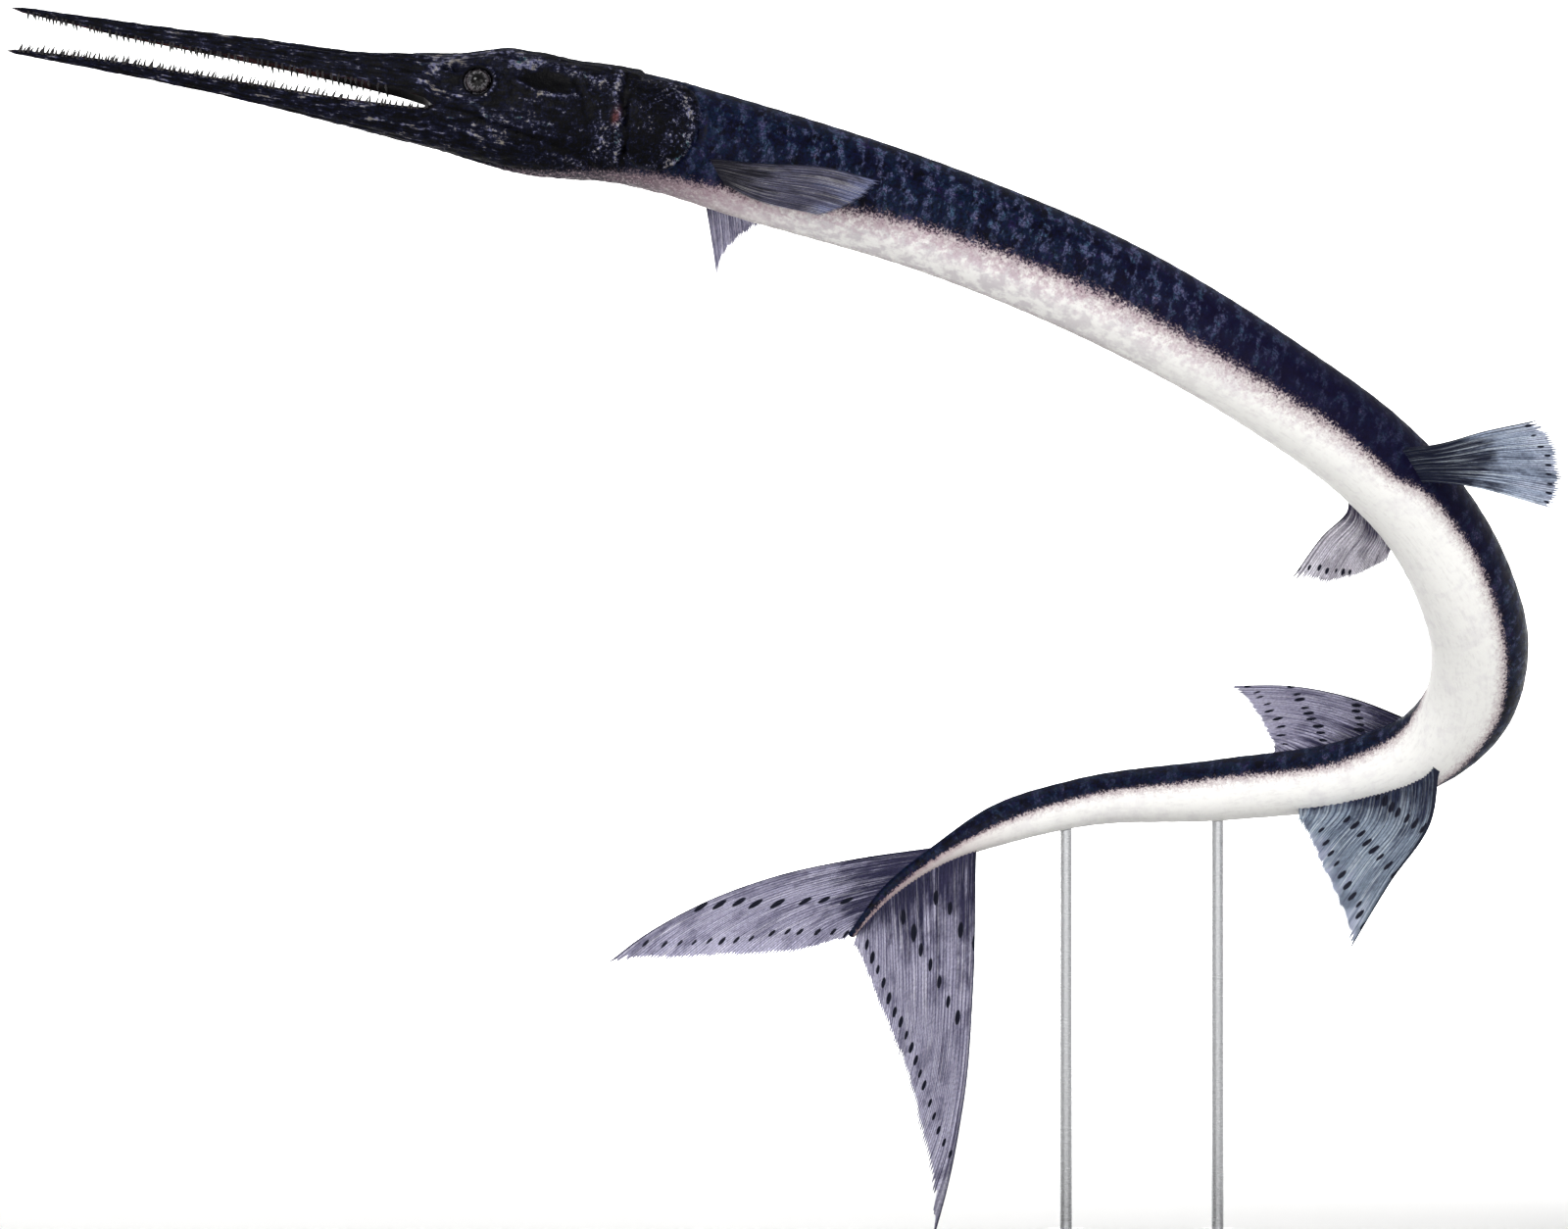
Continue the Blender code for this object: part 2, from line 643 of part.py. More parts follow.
def make_fin(name, form, body):
    """A fin of rays and membrane: rays stand as ridges, and its root is cut to the body's surface."""
    grid = fin_grid(form)
    columns, rows = grid.shape[0], grid.shape[1] - 1
    normal = np.cross(np.gradient(grid, axis=0), np.gradient(grid, axis=1))
    normal /= np.linalg.norm(normal, axis=2, keepdims=True)
    points, faces = [], []
    for side in (1, -1):
        for c in range(columns):
            for r in range(rows + 1):
                thick = form["thick"] + (FIN_EDGE - form["thick"]) * (r / rows) ** 0.7
                if c % 2:
                    thick = max(LEAST_SKIN, thick * MEMBRANE_SHARE)
                points.append(grid[c, r] + side * thick * MM / 2 * normal[c, r])
    sheet = columns * (rows + 1)
    for c in range(columns - 1):
        for r in range(rows):
            a, b = c * (rows + 1) + r, (c + 1) * (rows + 1) + r
            for layer in (0, sheet):
                faces.append((layer + a, layer + b, layer + b + 1))
                faces.append((layer + a, layer + b + 1, layer + a + 1))
    outline = [c * (rows + 1) for c in range(columns)]
    outline += [(columns - 1) * (rows + 1) + r for r in range(1, rows + 1)]
    outline += [c * (rows + 1) + rows for c in range(columns - 2, -1, -1)]
    outline += list(range(rows - 1, 0, -1))
    for a, b in zip(outline, outline[1:] + outline[:1]):
        faces.append((a, b, sheet + b))
        faces.append((a, sheet + b, sheet + a))
    combine(add_object(name, points, faces, "fin"), "DIFFERENCE", cutter=body)


def make_base():
    """A plain slab with round corners and a bevelled upper edge."""
    shape = bmesh.new()
    bmesh.ops.create_cube(shape, size=1.0)
    size = Vector((BASE_LENGTH * MM, BASE_DEPTH * MM, BASE_THICK * MM))
    bmesh.ops.scale(shape, vec=size, verts=shape.verts)
    bmesh.ops.translate(shape, vec=(0, 0, size.z / 2), verts=shape.verts)
    upright = [e for e in shape.edges if abs(e.verts[0].co.z - e.verts[1].co.z) > size.z / 2]
    bmesh.ops.bevel(shape, geom=upright, offset=BASE_CORNER * MM, segments=6, affect="EDGES", profile=0.5)
    top = max(shape.faces, key=lambda f: f.calc_center_median().z)
    bmesh.ops.bevel(shape, geom=list(top.edges), offset=BASE_BEVEL * MM, segments=2, affect="EDGES", profile=0.5)
    points = [np.array(v.co) for v in shape.verts]
    shape.verts.index_update()
    faces = [tuple(v.index for v in f.verts) for f in shape.faces]
    shape.free()
    return add_object("stand_base", points, faces, "base")


def make_rod(name, row, body):
    """An upright rod with a round foot, its top cut to the underside of the body."""
    centre = smooth_curve(LENGTHS, CENTRES, distance_at(row))
    floor = BASE_THICK * MM + GAP
    profile = (
        (ROD_FOOT_RADIUS, 0),
        (ROD_FOOT_RADIUS, ROD_FOOT_HEIGHT - 1),
        (ROD_FOOT_RADIUS - 1, ROD_FOOT_HEIGHT),
        (ROD_RADIUS, ROD_FOOT_HEIGHT),
        (ROD_RADIUS, (centre[2] - floor) / MM),
    )
    sides = 20
    rings = [
        [
            np.array([
                centre[0] + r * MM * math.cos(2 * math.pi * k / sides),
                centre[1] + r * MM * math.sin(2 * math.pi * k / sides),
                floor + z * MM,
            ])
            for k in range(sides)
        ]
        for r, z in profile
    ]
    points, faces = [], []
    last = loft(rings, points, faces)
    faces.append(tuple(range(sides)))
    faces.append(tuple(last))
    combine(add_object(name, points, faces, "steel"), "DIFFERENCE", cutter=body)


def build():
    for old in list(bpy.data.objects):
        bpy.data.objects.remove(old)
    make_head()
    for name, first, last in PARTS:
        close_tube(name, [body_ring(d) for d in places_along(first, last)])
    body = make_clear_space()
    for name, form in FINS.items():
        make_fin(name, form, body)
    for flank, side in ((1, "left"), (-1, "right")):
        make_gill_cover(f"operculum_{side}", flank, body)
    make_base()
    for name, row in RODS.items():
        make_rod(name, row, body)
    for made in bpy.data.objects:
        if made.type == "MESH":
            made.data.shade_smooth()
            made.data.set_sharp_from_angle(angle=math.radians(40))


build()
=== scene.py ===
import math
import bmesh
import bpy
import numpy as np
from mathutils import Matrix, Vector


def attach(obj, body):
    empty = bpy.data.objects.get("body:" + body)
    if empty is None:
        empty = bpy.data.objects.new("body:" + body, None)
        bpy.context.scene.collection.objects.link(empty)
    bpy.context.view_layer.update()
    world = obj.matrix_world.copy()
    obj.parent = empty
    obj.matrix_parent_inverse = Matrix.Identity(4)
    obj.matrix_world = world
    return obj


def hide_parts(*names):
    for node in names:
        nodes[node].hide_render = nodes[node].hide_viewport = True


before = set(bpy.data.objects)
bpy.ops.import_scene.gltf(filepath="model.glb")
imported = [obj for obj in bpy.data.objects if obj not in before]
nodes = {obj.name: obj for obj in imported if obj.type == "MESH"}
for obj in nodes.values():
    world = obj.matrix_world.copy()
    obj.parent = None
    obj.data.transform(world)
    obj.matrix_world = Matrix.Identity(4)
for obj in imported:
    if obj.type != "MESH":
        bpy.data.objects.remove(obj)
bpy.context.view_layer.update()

# Saurichthys, a long-beaked Triassic fish, alive and swimming in a C-shaped bend on a plain display stand.
# Metres, +Z up. The head points along -X and +Y is away from the camera.
mm = 0.001


# Shaders: colours as sRGB hex, and one function that adds a node

def linear(hexColour):
    parts = [int(hexColour[i:i + 2], 16) / 255 for i in (1, 3, 5)]
    return (*[p / 12.92 if p <= 0.04045 else ((p + 0.055) / 1.055) ** 2.4 for p in parts], 1.0)


def addNode(tree, kind, settings=None, **sockets):
    # sockets: in0=..., in6=... by number, or by name; a value, another node or one of its outputs
    node = tree.nodes.new(kind)
    for name, value in (settings or {}).items():
        if name == "stops":  # a colour ramp's stops, as (place, colour)
            ramp = node.color_ramp.elements
            while len(ramp) < len(value):
                ramp.new(0.5)
            for element, (place, shade) in zip(ramp, value):
                element.position, element.color = place, linear(shade)
        else:
            setattr(node, name, value)
    for name, value in sockets.items():
        socket = node.inputs[int(name[2:])] if name[:2] == "in" and name[2:].isdigit() else node.inputs[name]
        if isinstance(value, bpy.types.Node):
            value = next(output for output in value.outputs if output.enabled)
        if isinstance(value, bpy.types.NodeSocket):
            tree.links.new(value, socket)
        else:
            socket.default_value = value
    return node


# settings that many nodes share
soft = {"interpolation_type": "SMOOTHSTEP"}
times, timesAdd = {"operation": "MULTIPLY"}, {"operation": "MULTIPLY_ADD"}
blend, tint = {"data_type": "FLOAT"}, {"data_type": "RGBA"}


def newMaterial(name):
    made = bpy.data.materials.new(name)
    made.use_nodes = True
    return made, made.node_tree, made.node_tree.nodes["Principled BSDF"]


# The pose: the body's course as it is seen from the camera's place

camera = {
    "x": -0.104, "y": -2.667, "z": 0.278,  # level with the middle of the bend
    "lens": 150, "sensor": 36, "clip": (0.1, 50),
}

body = {
    # x and z as seen, depth y, half height, half width (mm), roll of the back away from the camera (degrees)
    "course": [
        (-416.5, 516.4, -75, 9.4, 1.3, 4), (-336, 503.0, -74, 12.0, 4.2, 4),
        (-246, 487.8, -72, 19.2, 12.2, 4), (-208, 482.6, -71, 24.4, 16.5, 4),
        (-166, 476.4, -70, 22.6, 19.0, 4), (-112, 461.2, -67, 23.0, 20.2, 4),
        (-40, 438.6, -62, 21.8, 19.8, 4), (32, 408.2, -54, 21.4, 19.4, 5),
        (96, 371.0, -40, 20.0, 19.0, 9), (136, 341.8, -26, 19.8, 19.2, 18),
        (156, 321.0, -14, 19.8, 19.4, 28), (174, 289.0, 6, 20.2, 20.0, 42),
        (180, 263.0, 26, 20.2, 20.0, 58), (174.8, 240.2, 44, 19.0, 18.6, 84),
        (156.8, 222.6, 60, 16.8, 16.2, 120), (128, 213.4, 72, 14.6, 13.8, 142),
        (76, 206.6, 80, 13.4, 11.6, 152), (16, 201.0, 82, 10.4, 8.6, 156),
        (-16, 192.2, 79, 8.9, 6.4, 158), (-40, 180.2, 76, 4.9, 3.6, 160),
        (-62, 164.2, 73, 3.2, 2.3, 164), (-76.8, 147.0, 70, 1.7, 1.5, 165),
    ],
    "mouthCorner": 2, "headEnd": 4,  # rows of the course
    "mouthAngle": 100.2,  # degrees from the back, where the mouth's line meets the flank
    "overSteps": 84, "underSteps": 60, "mouthSteps": 16,  # faces round the back, the belly and the mouth
    "tailTip": 0.8,  # how far the tail's tip reaches past the last ring (mm)
    # ring spacing (mm) up to each distance from the snout (mm)
    "rings": [(160, 1.7), (205, 0.7), (285, 1.0), (340, 2.0), (860, 3.0), (1007, 2.0)],
}

jaws = {
    # distance from the snout tip, height of the palate and of the mouth's floor over the axis (mm)
    "gape": [(0, 7.4, -7.8), (20, 6.1, -6.7), (35, 4.9, -6.1), (50, 4.2, -5.9), (82, 3.3, -6.1),
             (115, 2.5, -6.1), (130, 1.9, -6.0), (148, 0.8, -5.6), (156, 0.1, -5.4), (164, -1.2, -4.9),
             (175, -3.6, -3.6)],
    "closing": 5,  # mm before the corner over which both jaws run into the cheek
    "arch": 0.42,  # of the palate and of the mouth's floor, in half widths
    "tips": (5.0, 3.5),  # how far the upper and the lower tip reach past the first ring (mm)
    "archedFrom": 6,  # least gape that has its full arch (mm)
    # the lip's share also carries the mouth's painted shade, near black, onto the jaws' edges
    "lip": 0.55,  # share of the gum's look on the jaws' edges
}


def unit(vectors):
    return vectors / np.linalg.norm(vectors, axis=-1, keepdims=True)


def seen(x, z, y):
    # the point at depth y that the camera sees at (x, z), all in mm
    spread = 1 + np.asarray(y) * mm / -camera["y"]
    return np.stack([
        camera["x"] + (np.asarray(x) * mm - camera["x"]) * spread,
        np.asarray(y) * mm + 0 * spread,
        camera["z"] + (np.asarray(z) * mm - camera["z"]) * spread,
    ], axis=-1)


def asSeen(points):
    # x and z in mm at which the camera sees points
    spread = 1 + points[..., 1] / -camera["y"]
    return np.stack([
        camera["x"] + (points[..., 0] - camera["x"]) / spread,
        camera["z"] + (points[..., 2] - camera["z"]) / spread,
    ], axis=-1) / mm


def smoothCurve(knots, values, at):
    # cubic through values at knots, with slopes from the neighbours
    knots, values, at = np.asarray(knots, float), np.asarray(values, float), np.asarray(at, float)
    slopes = np.gradient(values, knots, axis=0)
    i = np.clip(np.searchsorted(knots, at) - 1, 0, len(knots) - 2)
    span = knots[i + 1] - knots[i]
    t = (at - knots[i]) / span
    shape = t.shape + (1,) * (values.ndim - 1)
    t, span = t.reshape(shape), span.reshape(shape)
    return (
        (2 * t**3 - 3 * t**2 + 1) * values[i] + (t**3 - 2 * t**2 + t) * span * slopes[i]
        + (3 * t**2 - 2 * t**3) * values[i + 1] + (t**3 - t**2) * span * slopes[i + 1]
    )


course = np.array(body["course"], float)
centres = seen(course[:, 0], course[:, 1], course[:, 2])
lengths = np.concatenate([[0], np.cumsum(np.linalg.norm(np.diff(centres, axis=0), axis=1))])
sizes = np.stack([course[:, 3] * mm, course[:, 4] * mm, np.radians(course[:, 5])], axis=-1)
cornerAt, headEndAt = lengths[body["mouthCorner"]], lengths[body["headEnd"]]
mouthAngle = math.radians(body["mouthAngle"])
mouthEdge = math.cos(mouthAngle)


def frameAt(at):
    # centre, directions to the tail, the back and the left flank, half height and half width
    at = np.asarray(at, float)
    centre = smoothCurve(lengths, centres, at)
    ahead = smoothCurve(lengths, centres, np.maximum(at - 0.5 * mm, 0))
    behind = smoothCurve(lengths, centres, np.minimum(at + 0.5 * mm, lengths[-1]))
    tail = unit(behind - ahead)
    high, wide, roll = np.moveaxis(smoothCurve(lengths, sizes, at), -1, 0)
    across = unit(np.stack([-tail[..., 2], 0 * tail[..., 0], tail[..., 0]], axis=-1))
    back = np.cos(roll)[..., None] * across + np.sin(roll)[..., None] * np.array([0, 1.0, 0])
    back = unit(back - (back * tail).sum(-1, keepdims=True) * tail)
    return centre, tail, back, np.cross(tail, back), high, wide


def onSkin(at, angle, out=0.0):
    # the point on the body at an angle from the back towards the left, moved out from it
    centre, _, back, left, high, wide = frameAt(at)
    up, side = (high + out) * np.cos(angle), (wide + out) * np.sin(angle)
    return centre + up[..., None] * back + side[..., None] * left


def outward(at, angle):
    _, _, back, left, high, wide = frameAt(at)
    return unit((np.cos(angle) / high)[..., None] * back + (np.sin(angle) / wide)[..., None] * left)


def girthAt(at):
    # mean radius of the body
    high, wide, _ = np.moveaxis(smoothCurve(lengths, sizes, at), -1, 0)
    return (high + wide) / 2


def gapeAt(at):
    # heights of the palate and of the mouth's floor over the axis, closed smoothly at the corner
    table = np.array(jaws["gape"]) * mm
    heights = smoothCurve(table[:, 0], table[:, 1:], np.minimum(at, table[-1, 0]))
    high = smoothCurve(lengths, sizes, at)[..., 0]
    shut = smoothStep((at - (cornerAt - jaws["closing"] * mm)) / (jaws["closing"] * mm))
    return [h * (1 - shut) + high * mouthEdge * shut for h in np.moveaxis(heights, -1, 0)]


def smoothStep(t):
    t = np.clip(t, 0, 1)
    return t * t * (3 - 2 * t)


def lumps(x, y, seed, wrap=512):
    # smooth random hills of about -1 to 1 on a square lattice
    lattice = np.random.default_rng(seed).uniform(-1, 1, (wrap, wrap))
    i, j = np.floor(x).astype(int), np.floor(y).astype(int)
    s, t = smoothStep(x - i), smoothStep(y - j)
    i, j, ii, jj = i % wrap, j % wrap, (i + 1) % wrap, (j + 1) % wrap
    low = lattice[i, j] * (1 - s) + lattice[ii, j] * s
    high = lattice[i, jj] * (1 - s) + lattice[ii, jj] * s
    return low * (1 - t) + high * t


def newPiece(name, points, faces, material, replaced=(), marks=None, crease=50):
    # one mesh object that rides on the model. faces: arrays of point numbers. marks: values at its points
    mesh = bpy.data.meshes.new(name)
    faceList = [face for block in faces for face in np.asarray(block).tolist()]
    mesh.from_pydata(np.asarray(points).tolist(), [], faceList)
    for mark, values in (marks or {}).items():
        values = np.asarray(values, np.float32)
        kind = "FLOAT" if values.ndim == 1 else "FLOAT_VECTOR"
        layer = mesh.attributes.new(mark, kind, "POINT")
        layer.data.foreach_set("value" if values.ndim == 1 else "vector", values.ravel())
    shape = bmesh.new()
    shape.from_mesh(mesh)
    bmesh.ops.recalc_face_normals(shape, faces=shape.faces)
    shape.to_mesh(mesh)
    shape.free()
    mesh.shade_smooth()
    mesh.set_sharp_from_angle(angle=math.radians(crease))
    mesh.materials.append(material)
    piece = bpy.data.objects.new(name, mesh)
    bpy.context.scene.collection.objects.link(piece)
    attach(piece, "root")
    if replaced:
        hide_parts(*replaced)
    print("made", name, len(mesh.loops) - 2 * len(mesh.polygons), "triangles")
    return piece


# Wet fish skin: scaleless, slime-coated hide, and on the head thin skin over granular bone. The slime gives a
# soft, broken gloss, and the pigment cells stipple the navy back out into the pale belly.
skinLooks = {
    # shades of the back, its clouds, the head's bone and the pale granules on it, as (place, colour)
    "back": [(0.34, "#030412"), (0.46, "#0a0d2a"), (0.55, "#08182e"), (0.66, "#1a1237")],
    "clouds": [(0.4, "#3c5770"), (0.5, "#525678"), (0.6, "#525678"), (0.68, "#786984")],
    "bone": [(0.76, "#010103"), (0.86, "#06081a"), (0.95, "#17192b"), (1.0, "#17192b")],
    "granules": [(0.37, "#34555a"), (0.43, "#8f8d96"), (0.49, "#656684"), (0.53, "#656684"),
                 (0.56, "#8f8d96"), (0.63, "#7d776f")],
    # mouth: the inside of the mouth painted near black, painted shade in the gape. gum: red patches in it
    "rearViolet": "#0f0a2a", "blush": "#7d4a49", "mouth": "#0a0709", "gum": "#3a1a1a", "belly": "#fbfaf7",
    # layers over the belly's white, the lowest first: a colour, and the names whose product is its share
    "layers": {
        "streaks": ("#d3d0d0", ["streaky"]),
        "haze": ("#dcd7dc", ["hazy"]),
        "greyFront": ("#c6bfc4", ["front", "mottled"]),
        "lilacBlotches": ("#c4aab9", ["blotched", "below", "onFlank"]),
        "rosyThroat": ("#a8909a", ["forward", "rosy"]),
        "brownStem": ("#957f80", ["onStem"]),
        # painted shade: a grey wash along the keel, where shade falls under the belly
        "paintedKeelShade": ("#8a7e80", ["keel", "keeled"]),
        "warmFringe": ("#9a8289", ["warm"]),
        "darkFringe": ("#463846", ["dusky"]),
        "darkThroat": ("#33313a", ["stippled", "onThroat"]),
    },
    "ior": 1.37, "gloss": 0.1, "bump": (0.4, 0.35),  # bump: strength, height (mm)
    "barPeriod": 9.6, "barWander": 14.0, "barLean": -0.2,  # pale bars along the back (mm)
    "granule": 0.9,  # head tubercles, real ones about 0.4 mm, drawn coarser so that they show (mm)
    # noises: size along the body and round it (mm), detail, roughness. cells: clumps of pigment cells, real
    # cells about 0.1 mm, drawn coarser so that they show
    "noises": {
        "broad": (16.667, 16.667, 3.0, 0.6), "hues": (7.143, 7.143, 3.0, 0.7), "fine": (2.5, 2.5, 4.0, 0.65),
        "crumbs": (1.25, 1.25, 4.0, 0.8), "cells": (0.9, 0.9, 2.0, 0.8), "strokes": (2.0, 4.0, 3.0, 0.6),
        "streaks": (6.9204, 1.17647, 4.0, 0.7),
    },
    # sums of noises and marks: where each starts, and the weights
    "sums": {
        "bars": (0.0, {"strokes": 0.8, "hues": 0.5, "wave": 0.07}),
        "lengthwise": (0.0, {"streaks": 0.6, "fine": 0.4}),
        "clouding": (0.0, {"broad": 0.4, "hues": 0.6}),
        "pigment": (-2.5, {"shadeEdge": 0.27, "cells": 3.6, "fine": 1.4}),
        "boneRise": (0.0, {"tubercles": -0.9, "streaks": 1.6}),
        "hideRise": (0.0, {"crumbs": 0.8}),
    },
    # soft ramps: what each follows, where it starts and stops, its value there
    "ramps": {
        "rearward": ("distance", 400.0, 500.0, 0.0, 0.6), "toBend": ("distance", 700.0, 600.0, 0.0, 1.0),
        "barred": ("bars", 0.64, 0.8, 0.0, 0.9), "fromNeck": ("distance", 265.0, 340.0, 0.45, 1.0),
        "onTrunk": ("distance", 540.0, 460.0, 0.3, 1.0), "onBend": ("distance", 600.0, 690.0, 0.0, 0.5),
        "toArm": ("distance", 830.0, 740.0, 0.0, 1.0), "dotted": ("cells", 0.42, 0.6, 0.2, 1.0),
        "inward": ("shadeEdge", 1.0, 8.0, 0.3, 1.0), "offRidge": ("height", 1.0, 7.0, 0.15, 1.0),
        "streaky": ("lengthwise", 0.48, 0.64, 0.0, 0.3), "hazy": ("clouding", 0.48, 0.62, 0.0, 0.3),
        "front": ("distance", 560.0, 400.0, 0.0, 0.5), "mottled": ("hues", 0.4, 0.6, 0.35, 1.5),
        "blotched": ("fine", 0.44, 0.58, 0.0, 0.6), "below": ("shadeEdge", -16.0, -4.0, 0.0, 1.0),
        "onFlank": ("distance", 600.0, 420.0, 0.2, 1.0), "forward": ("distance", 335.0, 255.0, 0.0, 1.0),
        "rosy": ("fine", 0.3, 0.62, 0.65, 1.0), "onStem": ("distance", 905.0, 985.0, 0.0, 0.8),
        "keeled": ("crumbs", 0.35, 0.62, 0.15, 0.75), "warm": ("pigment", -2.6, 0.1, 0.0, 0.75),
        "dusky": ("pigment", -0.75, 0.1, 0.0, 0.8), "stippled": ("crumbs", 0.34, 0.52, 0.0, 1.0),
        "onThroat": ("distance", 305.0, 228.0, 0.0, 0.97), "covered": ("pigment", -0.35, 0.5, 0.0, 1.0),
        "onJaw": ("distance", 250.0, 170.0, 0.0, 1.0), "flushed": ("crumbs", 0.35, 0.6, 0.0, 1.0),
        "reddened": ("broad", 0.45, 0.6, 0.0, 1.0), "rough": ("fine", 0.3, 0.7, 0.34, 0.56),
    },
    "grain": (0.36, 0.66, 0.12, 1.5),  # of the back: crumbs from and to, and the shade's strength there
    # how thickly granules cover the head: weights, cover from and to, and the granules' share there
    # the hollow weight is painted shade: it thins the pale granules in the nostril pits and the hollow behind
    # the eye, and on the dark skin round the eye
    "coverGrain": 0.75, "cover": {"pale": 0.19, "fine": 0.5, "hues": 0.35, "hollow": -0.14},
    "granular": (0.905, 1.05, 0.0, 0.88),
}


def wetFishSkin():
    material, tree, shader = newMaterial("wet_fish_skin")
    looks = skinLooks
    flow = addNode(tree, "ShaderNodeAttribute", {"attribute_name": "flow"}).outputs["Vector"]
    of = {}  # what the looks follow, by name: marks on the points, noises, and sums and ramps of these
    for name in ("shadeEdge", "headMask", "pale", "blush", "mouth", "hollow", "distance", "height", "keel"):
        of[name] = addNode(tree, "ShaderNodeAttribute", {"attribute_name": name}).outputs["Fac"]
    for name, (along, around, detail, rough) in looks["noises"].items():
        place = addNode(tree, "ShaderNodeMapping", {}, Vector=flow, Scale=(1 / along, 1 / around, 1 / around))
        of[name] = addNode(tree, "ShaderNodeTexNoise", {}, Vector=place, Scale=1.0, Detail=detail,
                           Roughness=rough)
    of["tubercles"] = addNode(tree, "ShaderNodeTexVoronoi", {"feature": "F1"}, Vector=flow,
                              Scale=1 / looks["granule"])
    # upright bars on the back, one to a muscle segment, that lean and wander
    lean = addNode(tree, "ShaderNodeMath", timesAdd, in0=of["broad"], in1=looks["barWander"],
                   in2=of["distance"])
    lean = addNode(tree, "ShaderNodeMath", timesAdd, in0=of["height"], in1=looks["barLean"], in2=lean)
    turns = addNode(tree, "ShaderNodeMath", times, in0=lean, in1=2 * math.pi / looks["barPeriod"])
    of["wave"] = addNode(tree, "ShaderNodeMath", {"operation": "SINE"}, in0=turns)
    for name, (start, weights) in looks["sums"].items():
        of[name] = start
        for part, weight in weights.items():
            of[name] = addNode(tree, "ShaderNodeMath", timesAdd, in0=of[part], in1=weight, in2=of[name])
    for name, (part, start, stop, low, high) in looks["ramps"].items():
        of[name] = addNode(tree, "ShaderNodeMapRange", soft, Value=of[part], in1=start, in2=stop, in3=low,
                           in4=high)

    # the back: navy, mottled with violet and teal, and more violet on the rear half of the trunk
    start, stop, low, high = looks["grain"]
    grain = addNode(tree, "ShaderNodeMapRange", {}, Value=of["crumbs"], in1=start, in2=stop, in3=low,
                    in4=high)
    deep = addNode(tree, "ShaderNodeValToRGB", {"stops": looks["back"]}, Fac=of["hues"])
    deep = addNode(tree, "ShaderNodeVectorMath", {"operation": "SCALE"}, in0=deep, Scale=grain)
    rear = addNode(tree, "ShaderNodeMath", times, in0=of["rearward"], in1=of["toBend"])
    deep = addNode(tree, "ShaderNodeMix", tint, in0=rear, in6=deep, in7=linear(looks["rearViolet"]))
    # pale stippled clouds in the bars, and none along the ridge of the back
    reach = addNode(tree, "ShaderNodeMath", timesAdd, in0=of["onBend"], in1=of["toArm"], in2=of["onTrunk"])
    clouded = addNode(tree, "ShaderNodeMath", times, in0=of["barred"], in1=reach)
    for name in ("fromNeck", "dotted", "inward", "offRidge"):
        clouded = addNode(tree, "ShaderNodeMath", times, in0=clouded, in1=of[name])
    cloud = addNode(tree, "ShaderNodeValToRGB", {"stops": looks["clouds"]}, Fac=of["fine"])
    back = addNode(tree, "ShaderNodeMix", tint, in0=clouded, in6=deep, in7=cloud)

    # the belly, and pigment cells that thin out from the back towards it
    flank = linear(looks["belly"])
    for shade, names in looks["layers"].values():
        share = of[names[0]]
        for name in names[1:]:
            share = addNode(tree, "ShaderNodeMath", times, in0=share, in1=of[name])
        flank = addNode(tree, "ShaderNodeMix", tint, in0=share, in6=flank, in7=linear(shade))
    flank = addNode(tree, "ShaderNodeMix", tint, in0=of["covered"], in6=flank, in7=back)

    # the head: near black with pale granules that gather along ridges and seams, in long streaks on the jaws
    cover = addNode(tree, "ShaderNodeMix", blend, in0=of["onJaw"], in2=of["crumbs"], in3=of["streaks"])
    cover = addNode(tree, "ShaderNodeMath", times, in0=cover, in1=looks["coverGrain"])
    for name, weight in looks["cover"].items():
        cover = addNode(tree, "ShaderNodeMath", timesAdd, in0=of[name], in1=weight, in2=cover)
    start, stop, low, high = looks["granular"]
    granular = addNode(tree, "ShaderNodeMapRange", soft, Value=cover, in1=start, in2=stop, in3=low, in4=high)
    bone = addNode(tree, "ShaderNodeValToRGB", {"stops": looks["bone"]}, Fac=cover)
    hue = addNode(tree, "ShaderNodeValToRGB", {"stops": looks["granules"]}, Fac=of["hues"])
    bone = addNode(tree, "ShaderNodeMix", tint, in0=granular, in6=bone, in7=hue)
    flushed = addNode(tree, "ShaderNodeMath", times, in0=of["blush"], in1=of["flushed"])
    bone = addNode(tree, "ShaderNodeMix", tint, in0=flushed, in6=bone, in7=linear(looks["blush"]))
    onHead = addNode(tree, "ShaderNodeMath", times, in0=of["headMask"], in1=of["covered"])
    colour = addNode(tree, "ShaderNodeMix", tint, in0=onHead, in6=flank, in7=bone)
    # the inside of the mouth: near black painted shade, with red patches of gum
    gum = addNode(tree, "ShaderNodeMix", tint, in0=of["reddened"], in6=linear(looks["mouth"]),
                  in7=linear(looks["gum"]))
    colour = addNode(tree, "ShaderNodeMix", tint, in0=of["mouth"], in6=colour, in7=gum)
    tree.links.new(colour.outputs[2], shader.inputs["Base Color"])

    tree.links.new(of["rough"].outputs[0], shader.inputs["Roughness"])
    shader.inputs["IOR"].default_value = looks["ior"]
    shader.inputs["Specular IOR Level"].default_value = looks["gloss"]

    # relief: tubercles and striae on bone, fine wrinkles on the hide
    rise = addNode(tree, "ShaderNodeMix", blend, in0=of["headMask"], in2=of["hideRise"], in3=of["boneRise"])
    bump = addNode(tree, "ShaderNodeBump", {}, Height=rise, Strength=looks["bump"][0],
                   Distance=looks["bump"][1] * mm)
    tree.links.new(bump.outputs[0], shader.inputs["Normal"])
    return material


# Skin: one closed surface from the snout to the tail stem

